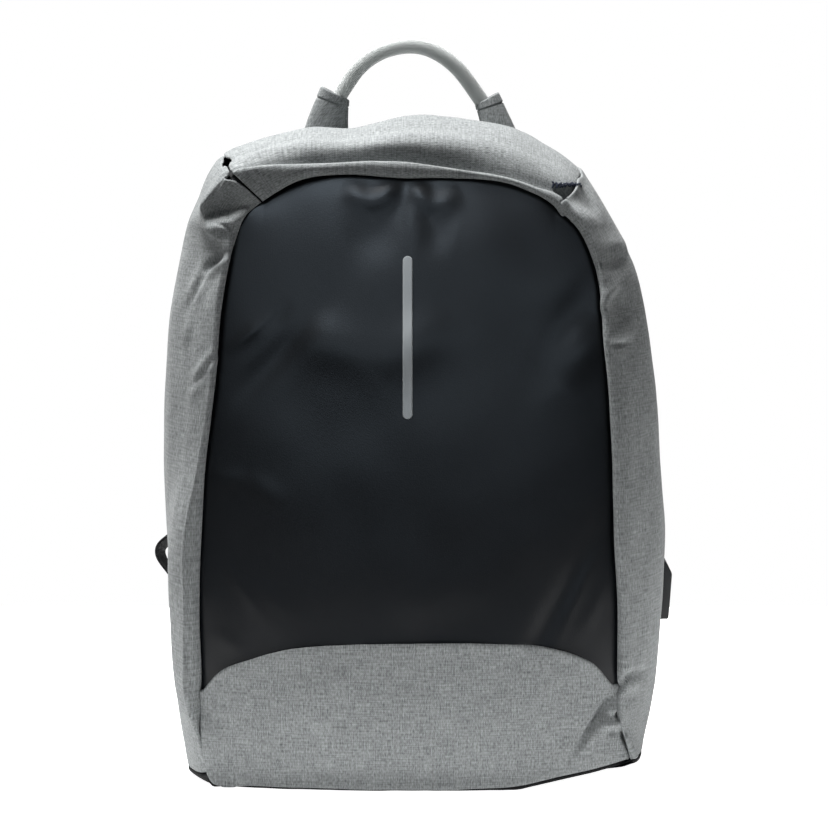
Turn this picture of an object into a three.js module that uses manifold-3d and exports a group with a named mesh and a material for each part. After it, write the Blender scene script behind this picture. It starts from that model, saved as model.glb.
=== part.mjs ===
// A soft-sided day backpack: dark coated front, heathered grey gussets and pocket, dark base,
// tube carry handle, padded back and shoulder straps. Millimetres, +Z up, the front faces -Y.
// The origin is the middle of the flat base that the bag stands on.
import * as THREE from "three";
import { mergeVertices } from "three/addons/utils/BufferGeometryUtils.js";
import Module from "manifold-3d";

const wasm = await Module();
wasm.setup();

// Driving dimensions
const WALL = 2; // coated cloth with its lining
const GAP = 0.4; // between two pieces that are sewn to each other
const POCKET_SIDE_GAP = 1.3; // between the pocket's sides and the hems
const HEM_LIFT = 2.6; // how far a folded hem stands in front of the panel under it
const HEM_COVER = 6; // how far a panel runs on under the hem that covers it
const SIDE_CREST_Y = 5; // depth at which the sides are widest
const TOP_CREST_Y = 25; // depth at which the top is highest
const BACK_EDGE_Y = 60; // depth of the seam round the back panel
const BACK_FACE_Y = 65; // flat outer face of the padded back
const BACK_ROUND = 9; // how far the gusset turns in before it meets the back panel
const STEPS = 2; // facets between two rows of a table

// The gusset from the bottom left, over the top, to the bottom right. A row is one section across it:
// hem = its folded front edge beside the front panel, out = its outermost point seen from the front,
// ridge = where its front fold stands up, as a share of hem to out, roll = how far that fold stands in
// front of the hem, dip = hollow behind it.
const GUSSET = [
  { hemX: -133, hemZ: 11, outX: -151, outZ: 10, ridge: 0.1, roll: 1.5, dip: 0 },
  { hemX: -138, hemZ: 35, outX: -156, outZ: 34, ridge: 0.2, roll: 2.5, dip: 0 },
  { hemX: -136, hemZ: 66, outX: -159.5, outZ: 66, ridge: 0.5, roll: 6, dip: 0 },
  { hemX: -135.5, hemZ: 112, outX: -162, outZ: 112, ridge: 0.55, roll: 8, dip: 0 },
  { hemX: -133, hemZ: 164, outX: -164, outZ: 164, ridge: 0.35, roll: 6, dip: 1 },
  { hemX: -128.5, hemZ: 215, outX: -164.5, outZ: 215, ridge: 0.2, roll: 4, dip: 1 },
  { hemX: -125, hemZ: 266, outX: -163, outZ: 266, ridge: 0.15, roll: 3, dip: 1 },
  { hemX: -119.5, hemZ: 311, outX: -158.5, outZ: 311, ridge: 0.15, roll: 2.5, dip: 1.5 },
  { hemX: -114.5, hemZ: 349, outX: -150.5, outZ: 348, ridge: 0.2, roll: 2.5, dip: 2 },
  { hemX: -108, hemZ: 367, outX: -142, outZ: 375, ridge: 0.3, roll: 3, dip: 2 },
  { hemX: -96, hemZ: 378, outX: -124.5, outZ: 405, ridge: 0.42, roll: 3.5, dip: 2 },
  { hemX: -72, hemZ: 390, outX: -74, outZ: 420, ridge: 0.38, roll: 3, dip: 3 },
  { hemX: -41, hemZ: 394, outX: -42, outZ: 422, ridge: 0.32, roll: 2.5, dip: 4 },
  { hemX: -6, hemZ: 392, outX: -5, outZ: 430, ridge: 0.3, roll: 2.5, dip: 6 },
  { hemX: 23, hemZ: 392, outX: 23.5, outZ: 430, ridge: 0.2, roll: 2, dip: 6 },
  { hemX: 54, hemZ: 389.5, outX: 56, outZ: 424.5, ridge: 0.14, roll: 1.5, dip: 4 },
  { hemX: 76, hemZ: 382, outX: 80.5, outZ: 416.5, ridge: 0.17, roll: 1.5, dip: 3 },
  { hemX: 89.5, hemZ: 373, outX: 108.5, outZ: 398.5, ridge: 0.3, roll: 2.5, dip: 2 },
  { hemX: 105, hemZ: 356, outX: 127, outZ: 368.5, ridge: 0.25, roll: 2.5, dip: 1 },
  { hemX: 116, hemZ: 326, outX: 145.5, outZ: 329, ridge: 0.2, roll: 2.5, dip: 1 },
  { hemX: 119.5, hemZ: 291, outX: 153.5, outZ: 290, ridge: 0.15, roll: 2.5, dip: 2 },
  { hemX: 122, hemZ: 252, outX: 159.5, outZ: 251, ridge: 0.15, roll: 2.5, dip: 3 },
  { hemX: 124, hemZ: 207, outX: 162.5, outZ: 206, ridge: 0.15, roll: 2.5, dip: 3 },
  { hemX: 126.5, hemZ: 162, outX: 165.5, outZ: 160, ridge: 0.15, roll: 2.5, dip: 2 },
  { hemX: 128, hemZ: 116, outX: 164.5, outZ: 114, ridge: 0.2, roll: 2, dip: 1 },
  { hemX: 127.8, hemZ: 70, outX: 162, outZ: 68, ridge: 0.25, roll: 2, dip: 1 },
  { hemX: 130, hemZ: 44, outX: 158, outZ: 41, ridge: 0.2, roll: 1.5, dip: 1 },
  { hemX: 141, hemZ: 19, outX: 151.5, outZ: 15, ridge: 0.1, roll: 1, dip: 0 },
];
const LEFT_SEAM = 10; // row of the mitred corner between the left side and the top
const RIGHT_SEAM = 17; // row of the mitred corner between the top and the right side
const LAST_ROW = GUSSET.length - 1;
const POCKET_ROW = { left: 2, right: 25 }; // rows where the pocket's top seam meets the sides

// The front, one row for each height: centre = depth on the middle line, edge = depth at the hems,
// half = half the width between the hems.
const FRONT = [
  { z: 0, centre: -64, edge: -50, half: 134 },
  { z: 30, centre: -73, edge: -55, half: 135 },
  { z: 70, centre: -79, edge: -59, half: 132 },
  { z: 120, centre: -81, edge: -61, half: 132 },
  { z: 180, centre: -79, edge: -60, half: 129 },
  { z: 240, centre: -73, edge: -57, half: 125 },
  { z: 300, centre: -63, edge: -51, half: 119 },
  { z: 350, centre: -50, edge: -43, half: 111 },
  { z: 378, centre: -40, edge: -37, half: 96 },
  { z: 396, centre: -33, edge: -32, half: 80 },
];
const FRONT_ROUND = 2.2; // how square the bulge is across

// Folds pressed into the front and its pocket: where, which way they run (degrees from +X towards +Z),
// how long and wide they are, and how deep they go (a negative depth stands out).
const FRONT_FOLDS = [
  { x: -10, z: 377, turn: 70, length: 22, width: 8, depth: 3.5 },
  { x: 9, z: 376, turn: 105, length: 20, width: 7, depth: 2.5 },
  { x: -1, z: 374, turn: 90, length: 24, width: 6, depth: -2 },
  { x: -30, z: 352, turn: 40, length: 34, width: 14, depth: 2.5 },
  { x: -84, z: 285, turn: 48, length: 40, width: 9, depth: 2 },
  { x: 96, z: 300, turn: 60, length: 40, width: 12, depth: 2 },
  { x: 88, z: 118, turn: 62, length: 44, width: 8, depth: 1.5 },
  { x: 112, z: 46, turn: 55, length: 24, width: 7, depth: 5 },
  { x: -20, z: 12, turn: 0, length: 60, width: 10, depth: 1.5 },
];
// Pinches in the gusset: where round it (in rows), where across it (share), sizes in those units, depth.
const GUSSET_FOLDS = [
  { row: 8.8, share: 0.22, rows: 0.3, shares: 0.13, depth: 3.5 },
  { row: 7.6, share: 0.3, rows: 0.5, shares: 0.08, depth: 2 },
  { row: 19.2, share: 0.32, rows: 0.3, shares: 0.16, depth: 3 },
  { row: 25.3, share: 0.22, rows: 0.22, shares: 0.14, depth: 3 },
];

// Seam between the dark panel and the grey pocket: a flat arch from hem to hem.
const POCKET_TOP_Z = 97;
const POCKET_END_Z = { left: 66, right: 70 };
const POCKET_ARCH = 3.2; // how square the arch is

// The pocket's lower edge on the base: nearly flat in the middle, lifted towards the ends.
const POCKET_FOOT_Z = 3;
const POCKET_FOOT_LIFT = { left: 8, right: 16 };

const STRIP = { x: -4, width: 7, low: 242, high: 346, thick: 0.8 };

const HANDLE = { tube: 10, y: 52 };
const HANDLE_ARCH = [
  { x: -56, z: 432 },
  { x: -46.5, z: 446 },
  { x: -35, z: 461.5 },
  { x: -21, z: 471.5 },
  { x: -4, z: 476 },
  { x: 12, z: 473 },
  { x: 27.5, z: 461.5 },
  { x: 42, z: 443 },
  { x: 50, z: 431 },
];
// The two sleeves of the handle, one row for each level: from (x0, z0) to (x1, z1), and their depth.
const TABS = {
  left: [
    { x0: -77, z0: 409, x1: -43, z1: 409, thick: 15 },
    { x0: -70, z0: 430, x1: -43.5, z1: 427, thick: 15 },
    { x0: -61.5, z0: 449.7, x1: -43, z1: 440.4, thick: 14 },
  ],
  right: [
    { x0: 41, z0: 410, x1: 74, z1: 410, thick: 15 },
    { x0: 40.5, z0: 426, x1: 66, z1: 430, thick: 15 },
    { x0: 40, z0: 437, x1: 54.8, z1: 446.3, thick: 14 },
  ],
};

const USB = { low: 97, high: 136, chamfer: 8, taper: 2, y: 20, depth: 20, proud: 7.5, sink: 4 };

const STRAP = { width: 64, thick: 9, round: 3 };
const STRAP_PATH = [
  { x: 37, off: 5.1, z: 400 },
  { x: 38, off: 6.1, z: 388 },
  { x: 40, off: 11.5, z: 372 },
  { x: 46, off: 29, z: 346 },
  { x: 55, off: 44, z: 312 },
  { x: 66, off: 51, z: 272 },
  { x: 78, off: 46, z: 230 },
  { x: 84.5, off: 39.5, z: 208 },
];
const ADJUSTER = { width: 36, thick: 6 };
const ADJUSTER_PATH = [
  { x: 84.7, off: 39.3, z: 207.4 },
  { x: 90.1, off: 33.9, z: 189.2 },
];
const WEBBING = { width: 25, thick: 2 };
// off = height above the back's outer face, turn = how far the webbing is twisted on edge, in degrees.
const WEBBING_RIGHT = [
  { x: 90.3, off: 33.7, z: 188.6, turn: 0 },
  { x: 93.3, off: 30.4, z: 178, turn: 0 },
  { x: 104, off: 18, z: 142, turn: 0 },
  { x: 115, off: 8, z: 104, turn: 0 },
  { x: 123, off: 2.6, z: 72, turn: 0 },
  { x: 128, off: 1.6, z: 52, turn: 0 },
  { x: 131, off: 1.6, z: 36, turn: 0 },
];
const WEBBING_LEFT = [
  { x: -90.3, off: 33.7, z: 188.6, turn: 0 },
  { x: -93.8, off: 30, z: 176.5, turn: 0 },
  { x: -116, off: 26, z: 162, turn: -30 },
  { x: -145, off: 22, z: 151, turn: -62 },
  { x: -166, off: 19, z: 140, turn: -76 },
  { x: -173.5, off: 17, z: 130.5, turn: -78 },
  { x: -166, off: 15, z: 117, turn: -76 },
  { x: -149, off: 11, z: 101, turn: -50 },
  { x: -135, off: 5, z: 78, turn: -12 },
  { x: -130, off: 1.9, z: 58, turn: 0 },
  { x: -130, off: 1.6, z: 40, turn: 0 },
];

const material = (color, roughness, metalness = 0) =>
  new THREE.MeshStandardMaterial({ color, roughness, metalness });
const CLOTH = material(0x8b8f8e, 0.95);
const COATED = material(0x24272b, 0.55);
const DARK_CLOTH = material(0x1d1e20, 0.9);
const TUBE = material(0xb4b8b6, 0.45);
const REFLECTOR = material(0x9aa0a3, 0.4);
const PLASTIC = material(0x161717, 0.5);

// A smooth curve through the rows of a table, as a function of the row number.
function throughRows(rows, pick) {
  const points = rows.map((row) => new THREE.Vector3(...pick(row)));
  const curve = new THREE.CatmullRomCurve3(points, false, "catmullrom", 0.5);
  return (row) => curve.getPoint(THREE.MathUtils.clamp(row / (rows.length - 1), 0, 1));
}

// A value of the front table at height z, on a smooth curve through its rows.
const frontCurve = throughRows(FRONT, (row) => [row.centre, row.edge, row.half]);
function frontAt(z) {
  const last = FRONT.length - 1;
  const below = Math.min(last - 1, Math.max(0, FRONT.findIndex((row, i) => i === last || FRONT[i + 1].z > z)));
  const share = (z - FRONT[below].z) / (FRONT[below + 1].z - FRONT[below].z);
  return frontCurve(below + share);
}

// Depth of the front at (x, z): from the middle line back to the hems along a power curve.
function frontY(x, z) {
  const { x: centre, y: edge, z: half } = frontAt(z);
  return centre + (edge - centre) * Math.abs(x / half) ** FRONT_ROUND;
}

// Sum of long soft dents: each falls off as a bell curve along and across its own direction.
function foldDepth(x, z) {
  return FRONT_FOLDS.reduce((sum, fold) => {
    const turn = THREE.MathUtils.degToRad(fold.turn);
    const along = (x - fold.x) * Math.cos(turn) + (z - fold.z) * Math.sin(turn);
    const across = (z - fold.z) * Math.cos(turn) - (x - fold.x) * Math.sin(turn);
    return sum + fold.depth * Math.exp(-((along / fold.length) ** 2) - (across / fold.width) ** 2);
  }, 0);
}

function pinchDepth(row, share) {
  return GUSSET_FOLDS.reduce((sum, fold) => {
    const round = (row - fold.row) / fold.rows;
    const across = (share - fold.share) / fold.shares;
    return sum + fold.depth * Math.exp(-(round ** 2) - across ** 2);
  }, 0);
}

const hemCurve = throughRows(GUSSET, (row) => [row.hemX, 0, row.hemZ]);
const outCurve = throughRows(GUSSET, (row) => [row.outX, 0, row.outZ]);
const foldCurve = throughRows(GUSSET, (row) => [row.ridge, row.roll, row.dip]);

// The gusset's section at one row: seven points from the hem over the fold, the shoulder and the crest
// to the seam of the back panel, joined by a smooth curve.
function gussetSection(row) {
  const hem = hemCurve(row);
  const out = outCurve(row);
  const band = out.clone().sub(hem);
  const width = band.length();
  const outward = band.clone().normalize();
  const topness = THREE.MathUtils.clamp(outward.z, 0, 1) ** 2;
  const crestY = THREE.MathUtils.lerp(SIDE_CREST_Y, TOP_CREST_Y, topness);
  const hemY = frontY(hem.x, hem.z) - HEM_LIFT;
  const { x: ridge, y: roll, z: dip } = foldCurve(row);
  const at = (distance, y) => hem.clone().addScaledVector(outward, distance).setY(y);
  const span = crestY - hemY;
  return new THREE.CatmullRomCurve3(
    [
      at(0, hemY),
      at(ridge * width, hemY - roll),
      at((ridge + (1 - ridge) * 0.45) * width - dip, hemY + span * 0.2),
      at(0.86 * width - dip * 0.3, hemY + span * 0.55),
      at(width, crestY),
      at(width - BACK_ROUND * 0.2, THREE.MathUtils.lerp(crestY, BACK_EDGE_Y, 0.72)),
      at(width - BACK_ROUND, BACK_EDGE_Y),
    ],
    false,
    "catmullrom",
    0.5,
  );
}

// A point of the gusset: row round the bag, share from the hem (0) to the back seam (1).
function gussetPoint(row, share) {
  const point = gussetSection(row).getPoint(share);
  const inward = new THREE.Vector3(-point.x, -point.y * 0.6, 215 - point.z).normalize();
  return point.addScaledVector(inward, pinchDepth(row, share));
}

// The outward normal of the gusset, from small steps round it and across it.
function gussetNormal(row, share) {
  const step = 0.01;
  const along = gussetPoint(Math.min(row + 0.1, LAST_ROW), share).sub(gussetPoint(Math.max(row - 0.1, 0), share));
  const across = gussetPoint(row, Math.min(share + step, 1)).sub(gussetPoint(row, Math.max(share - step, 0)));
  return along.cross(across).normalize();
}

// Geometry helpers
function closedGeometry(positions, faces) {
  let geometry = new THREE.BufferGeometry();
  geometry.setAttribute("position", new THREE.Float32BufferAttribute(positions, 3));
  geometry.setIndex(faces);
  geometry = mergeVertices(geometry, 1e-3);
  const index = geometry.index.array;
  const kept = [];
  for (let i = 0; i < index.length; i += 3) {
    const [a, b, c] = index.slice(i, i + 3);
    if (a !== b && b !== c && c !== a) kept.push(a, b, c);
  }
  const corner = [0, 1, 2].map(() => new THREE.Vector3());
  let volume = 0;
  for (let i = 0; i < kept.length; i += 3) {
    corner.forEach((v, k) => v.fromBufferAttribute(geometry.attributes.position, kept[i + k]));
    volume += corner[0].dot(corner[1].cross(corner[2]));
  }
  geometry.setIndex(volume < 0 ? kept.reverse() : kept);
  return geometry;
}

// The outward unit normal of a grid at one point, from the chords to its neighbours.
const BAG_MIDDLE = new THREE.Vector3(0, -5, 215);
function gridNormal(grid, r, c) {
  const next = Math.min(c + 1, grid[0].length - 1);
  const down = Math.min(r + 1, grid.length - 1);
  const across = grid[r][next].clone().sub(grid[r][Math.max(c - 1, 0)]);
  const along = grid[down][c].clone().sub(grid[Math.max(r - 1, 0)][c]);
  const normal = across.cross(along).normalize();
  return normal.dot(grid[r][c].clone().sub(BAG_MIDDLE)) < 0 ? normal.negate() : normal;
}

// A closed wall along a grid of points, from `out` outside it to `into` inside it.
function wall(grid, { out = 0, into = WALL, normal = (r, c) => gridNormal(grid, r, c) } = {}) {
  const shifted = (offset) => grid.map((line, r) => line.map((p, c) => p.clone().addScaledVector(normal(r, c), offset)));
  return between(shifted(out), shifted(-into), false);
}

// The closed body between two grids of the same size. With loop the columns close on themselves;
// a last row of equal points closes the end.
function between(outer, innerGrid, loop) {
  const rows = outer.length;
  const columns = outer[0].length;
  const positions = [outer, innerGrid].flat(2).flatMap((p) => [p.x, p.y, p.z]);
  const inner = rows * columns;
  const id = (r, c) => r * columns + (c % columns);
  const faces = [];
  const quad = (a, b, c, d) => faces.push(a, b, c, a, c, d);
  const lastColumn = loop ? columns : columns - 1;
  for (let r = 0; r < rows - 1; r++) {
    for (let c = 0; c < lastColumn; c++) {
      const [a, b, d, e] = [id(r, c), id(r, c + 1), id(r + 1, c + 1), id(r + 1, c)];
      quad(a, b, d, e);
      quad(inner + a, inner + e, inner + d, inner + b);
    }
    if (!loop) {
      quad(id(r, 0), id(r + 1, 0), inner + id(r + 1, 0), inner + id(r, 0));
      const c = columns - 1;
      quad(id(r, c), inner + id(r, c), inner + id(r + 1, c), id(r + 1, c));
    }
  }
  for (let c = 0; c < lastColumn; c++) {
    const r = rows - 1;
    quad(id(0, c), inner + id(0, c), inner + id(0, c + 1), id(0, c + 1));
    quad(id(r, c), id(r, c + 1), inner + id(r, c + 1), inner + id(r, c));
  }
  return closedGeometry(positions, faces);
}

// A closed skin over rings of equal length, with flat ends.
function loft(rings) {
  const count = rings[0].length;
  const positions = rings.flat().flatMap((p) => [p.x, p.y, p.z]);
  const faces = [];
  for (let r = 0; r < rings.length - 1; r++) {
    for (let c = 0; c < count; c++) {
      const [a, b] = [r * count + c, r * count + ((c + 1) % count)];
      faces.push(a, b, b + count, a, b + count, a + count);
    }
  }
  const last = (rings.length - 1) * count;
  for (let c = 1; c < count - 1; c++) {
    faces.push(0, c + 1, c, last, last + c, last + c + 1);
  }
  return closedGeometry(positions, faces);
}

function solidOf(geometry) {
  const bare = geometry.clone();
  for (const name of Object.keys(bare.attributes)) {
    if (name !== "position") bare.deleteAttribute(name);
  }
  const merged = mergeVertices(bare, 1e-3);
  return new wasm.Manifold(
    new wasm.Mesh({
      numProp: 3,
      vertProperties: new Float32Array(merged.attributes.position.array),
      triVerts: new Uint32Array(merged.index.array),
    }),
  );
}

function geometryOf(solid) {
  const made = solid.getMesh();
  const geometry = new THREE.BufferGeometry();
  geometry.setAttribute("position", new THREE.BufferAttribute(made.vertProperties, made.numProp));
  geometry.setIndex(new THREE.BufferAttribute(made.triVerts, 1));
  return geometry;
}

const lerp = THREE.MathUtils.lerp;
const range = (from, to, steps) => Array.from({ length: steps + 1 }, (_, i) => from + ((to - from) * i) / steps);

// The whole bag as a named group of pieces
const backpack = new THREE.Group();
function add(name, geometry, finish) {
  const mesh = new THREE.Mesh(geometry, finish);
  mesh.name = name;
  backpack.add(mesh);
}

// Gussets. Their mitred ends keep a gap, which opens at the fold and the crest of each corner.
const SECTION_STEPS = 6 * STEPS;
const SHARES = range(0, 1, SECTION_STEPS);
const ROW_MM = 34; // about the distance between two rows near the corners
function seamGap(share, opening) {
  const atFold = Math.exp(-(((share - 0.2) / 0.1) ** 2));
  const atCrest = Math.exp(-(((share - 0.55) / 0.1) ** 2));
  return (GAP + opening.fold * atFold + opening.crest * atCrest) / ROW_MM;
}
const LEFT_OPENING = { fold: 1.2, crest: 2.2 };
const RIGHT_OPENING = { fold: 4, crest: 2 };
const NO_OPENING = { fold: 0, crest: 0 };

// The places of a gusset's grid, as rows and shares, then the points and the wall on them.
function gussetPlaces(from, to, fromGap, toGap) {
  const steps = Math.round((to - from) * STEPS);
  return range(0, 1, steps).map((along) =>
    SHARES.map((share) => {
      const low = from + (fromGap ? seamGap(share, fromGap) : 0);
      const high = to - (toGap ? seamGap(share, toGap) : 0);
      return { row: low + (high - low) * along, share };
    }),
  );
}
const onGusset = (places) => places.map((line) => line.map(({ row, share }) => gussetPoint(row, share)));
function gussetWall(places, offsets = {}) {
  const normals = places.map((line) => line.map(({ row, share }) => gussetNormal(row, share)));
  return wall(onGusset(places), { ...offsets, normal: (r, c) => normals[r][c] });
}
const leftPlaces = gussetPlaces(0, LEFT_SEAM, null, LEFT_OPENING);
const topPlaces = gussetPlaces(LEFT_SEAM, RIGHT_SEAM, NO_OPENING, NO_OPENING);
const rightPlaces = gussetPlaces(RIGHT_SEAM, LAST_ROW, RIGHT_OPENING, null);
add("side_gusset_left", gussetWall(leftPlaces), CLOTH);
add("top_gusset", gussetWall(topPlaces), CLOTH);
add("side_gusset_right", gussetWall(rightPlaces), CLOTH);

// Dark tapes behind the mitred corners, which show where the seams gape.
const TAPE_ROWS = 0.12;
const TAPE_GAP = 1;
const TAPE_SHARES = SHARES.slice(1, -3);
for (const [name, seam] of [["corner_tape_left", LEFT_SEAM], ["corner_tape_right", RIGHT_SEAM]]) {
  const places = range(seam - TAPE_ROWS, seam + TAPE_ROWS, STEPS).map((row) =>
    TAPE_SHARES.map((share) => ({ row, share })),
  );
  add(name, gussetWall(places, { out: -WALL - TAPE_GAP, into: WALL + TAPE_GAP + 1 }), DARK_CLOTH);
}

// Front panel and pocket: each is a patch stretched between four edges.
function patch(left, right, low, high, steps) {
  return range(0, 1, steps.up).map((up) =>
    range(0, 1, steps.across).map((across) => {
      const point = new THREE.Vector2();
      point.addScaledVector(left(up), 1 - across).addScaledVector(right(up), across);
      point.addScaledVector(low(across), 1 - up).addScaledVector(high(across), up);
      for (const [corner, u, v] of [[low(0), 0, 0], [low(1), 1, 0], [high(0), 0, 1], [high(1), 1, 1]]) {
        point.addScaledVector(corner, -Math.abs(1 - u - across) * Math.abs(1 - v - up));
      }
      return point;
    }),
  );
}

// A point of the hem line, moved outwards across the gusset.
function besideHem(row, outwards) {
  const hem = hemCurve(row);
  const outward = outCurve(row).sub(hem).normalize();
  hem.addScaledVector(outward, outwards);
  return new THREE.Vector2(hem.x, hem.z);
}
// Height of the pocket's top seam at x: an arch, lower towards the two ends.
function pocketSeamZ(x) {
  const end = x < 0 ? POCKET_END_Z.left : POCKET_END_Z.right;
  const reach = Math.abs(hemCurve(x < 0 ? POCKET_ROW.left : POCKET_ROW.right).x);
  return end + (POCKET_TOP_Z - end) * (1 - Math.min(1, Math.abs(x) / reach) ** POCKET_ARCH);
}

const PANEL_STEPS = { across: 20, up: 16 };
const panelLeft = (up) => besideHem(lerp(POCKET_ROW.left, LEFT_SEAM, up), HEM_COVER);
const panelRight = (up) => besideHem(lerp(POCKET_ROW.right, RIGHT_SEAM, up), HEM_COVER);
const panelTop = (across) => besideHem(lerp(LEFT_SEAM, RIGHT_SEAM, across), HEM_COVER);
function panelLow(across) {
  const x = lerp(panelLeft(0).x, panelRight(0).x, across);
  return new THREE.Vector2(x, across === 0 ? panelLeft(0).y : across === 1 ? panelRight(0).y : pocketSeamZ(x) - HEM_COVER);
}
const frontGrid = patch(panelLeft, panelRight, panelLow, panelTop, PANEL_STEPS).map((line) =>
  line.map((p) => new THREE.Vector3(p.x, frontY(p.x, p.y) + foldDepth(p.x, p.y), p.y)),
);
add("front_panel", wall(frontGrid), COATED);

const POCKET_STEPS = { across: 20, up: 6 };
const pocketLeft = (up) => besideHem(lerp(0, POCKET_ROW.left, up), -POCKET_SIDE_GAP);
const pocketRight = (up) => besideHem(lerp(LAST_ROW, POCKET_ROW.right, up), -POCKET_SIDE_GAP);
function pocketTop(across) {
  const x = lerp(pocketLeft(1).x, pocketRight(1).x, across);
  return new THREE.Vector2(x, pocketSeamZ(x));
}
function pocketFoot(across) {
  const x = lerp(pocketLeft(0).x, pocketRight(0).x, across);
  const side = 2 * across - 1;
  const lift = side < 0 ? POCKET_FOOT_LIFT.left : POCKET_FOOT_LIFT.right;
  return new THREE.Vector2(x, POCKET_FOOT_Z + lift * Math.abs(side) ** 2.5);
}
const pocketGrid = patch(pocketLeft, pocketRight, pocketFoot, pocketTop, POCKET_STEPS).map((line) =>
  line.map(
    (p) => new THREE.Vector3(p.x, frontY(p.x, p.y) - HEM_LIFT + foldDepth(p.x, p.y), p.y),
  ),
);
add("front_pocket", wall(pocketGrid), CLOTH);

// Reflective strip: a thin band with round ends that follows the front panel.
const STRIP_ENDS = range(0, Math.PI / 2, 3).map((a) => ({ cut: 1 - Math.sin(a), half: Math.cos(a) }));
function stripGrid() {
  const radius = STRIP.width / 2;
  const ends = STRIP_ENDS.slice(0, -1).map(({ cut, half }) => ({ cut: radius * cut, half: radius * half }));
  const heights = [
    ...ends.slice().reverse().map((e) => ({ z: STRIP.low + radius - (radius - e.cut), half: e.half })),
    ...range(STRIP.low + radius, STRIP.high - radius, 8).slice(1, -1).map((z) => ({ z, half: radius })),
    ...ends.map((e) => ({ z: STRIP.high - radius + (radius - e.cut), half: e.half })),
  ];
  return heights.map(({ z, half }) =>
    range(-half, half, 2).map((dx) => {
      const x = STRIP.x + dx;
      return new THREE.Vector3(x, frontY(x, z) + foldDepth(x, z), z);
    }),
  );
}
add("reflective_strip", wall(stripGrid(), { out: GAP + STRIP.thick, into: -GAP }), REFLECTOR);

// Rings of points, each `inset` further from the rim towards the middle of the panel.
function ringsInward(rim, middle, insets) {
  return insets.map((inset) =>
    rim.map((p) => {
      const towards = middle.clone().sub(p);
      return p.clone().addScaledVector(towards.clone().normalize(), Math.min(inset, towards.length()));
    }),
  );
}
const lowBackEdge = range(0, 1, 8)
  .slice(1, -1)
  .map((a) => gussetPoint(LAST_ROW, 1).lerp(gussetPoint(0, 1), a));

// Back panel: a padded plate behind the gusset's back edge, round at its rim and flat in the middle.
const BACK_INSETS = [0, 3, 9, 18, 1000];
const BACK_EASE = [0.25, 0.66, 0.92, 1, 1]; // share of its full thickness
const backRim = [...range(0, LAST_ROW, LAST_ROW * STEPS).map((row) => gussetPoint(row, 1)), ...lowBackEdge];
const backRings = ringsInward(backRim, new THREE.Vector3(0, BACK_EDGE_Y, 215), BACK_INSETS);
const backFace = (easeAt) => backRings.map((ring, i) => ring.map((p) => p.clone().setY(easeAt(i))));
add(
  "back_panel",
  between(
    backFace((i) => lerp(BACK_EDGE_Y + GAP, BACK_FACE_Y, BACK_EASE[i])),
    backFace(() => BACK_EDGE_Y + GAP),
    true,
  ),
  DARK_CLOTH,
);

// Base: a sheet that is flat on the floor and turns up to the seam round its rim.
const BASE_INSETS = [0, 3, 8, 60, 1000];
const BASE_RISE = [1, 0.25, 0, 0, 0]; // share of the way from the floor up to the rim
// The front right corner of the base is lifted off the floor, by BASE_LIFT.height at its tip.
const BASE_LIFT = { height: 14, fromX: 35, toX: 145, fromY: 10, toY: -62 };
function floorZ(x, y) {
  const right = THREE.MathUtils.clamp((x - BASE_LIFT.fromX) / (BASE_LIFT.toX - BASE_LIFT.fromX), 0, 1);
  const front = THREE.MathUtils.clamp((y - BASE_LIFT.fromY) / (BASE_LIFT.toY - BASE_LIFT.fromY), 0, 1);
  return BASE_LIFT.height * right ** 1.5 * front;
}
const onFloor = (p) => p.clone().setZ(0);
const baseRim = [
  ...pocketGrid[0],
  ...onGusset([rightPlaces.at(-1)])[0].slice(1),
  ...lowBackEdge,
  ...onGusset([leftPlaces[0]])[0].slice(1).reverse(),
];
const baseRings = ringsInward(baseRim.map(onFloor), new THREE.Vector3(-23, 4, 0), BASE_INSETS);
const rimZ = (p) => Math.max(0, p.z - WALL - GAP * 1.5);
const baseFace = (lift) =>
  baseRings.map((ring, i) =>
    ring.map((p, k) => p.clone().setZ(lift + lerp(Math.min(floorZ(p.x, p.y), rimZ(baseRim[k])), rimZ(baseRim[k]), BASE_RISE[i]))),
  );
add("base_panel", between(baseFace(0), baseFace(WALL), true), DARK_CLOTH);

// Carry handle: a round tube bent into an arch, its ends in two cloth sleeves on the top gusset.
const archCurve = new THREE.CatmullRomCurve3(
  HANDLE_ARCH.map((p) => new THREE.Vector3(p.x, HANDLE.y, p.z)),
  false,
  "centripetal",
);
function roundTube(curve, diameter, sides, steps) {
  const circle = new THREE.Shape().absarc(0, 0, diameter / 2, 0, 2 * Math.PI);
  return new THREE.ExtrudeGeometry(circle, { extrudePath: curve, steps, curveSegments: sides });
}
add("handle_tube", roundTube(archCurve, HANDLE.tube, 6, 20), TUBE);

const gussetCutter = solidOf(gussetWall(topPlaces, { out: 0.35, into: 6 }));
const boreCutter = solidOf(roundTube(archCurve, HANDLE.tube + 1, 6, 20));
const TAB_SIDES = 12;
function tabRing({ x0, z0, x1, z1, thick }) {
  const rounded = (value) => Math.sign(value) * Math.sqrt(Math.abs(value));
  return range(0, 2 * Math.PI, TAB_SIDES)
    .slice(0, -1)
    .map((angle) => {
      const across = (1 + rounded(Math.cos(angle))) / 2;
      const y = HANDLE.y + (thick / 2) * rounded(Math.sin(angle));
      return new THREE.Vector3(lerp(x0, x1, across), y, lerp(z0, z1, across));
    });
}
for (const [side, levels] of Object.entries(TABS)) {
  const trimmed = solidOf(loft(levels.map(tabRing))).subtract(gussetCutter).subtract(boreCutter);
  const above = trimmed.decompose().sort((a, b) => b.volume() - a.volume())[0];
  add(`handle_tab_${side}`, geometryOf(above), CLOTH);
}

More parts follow.
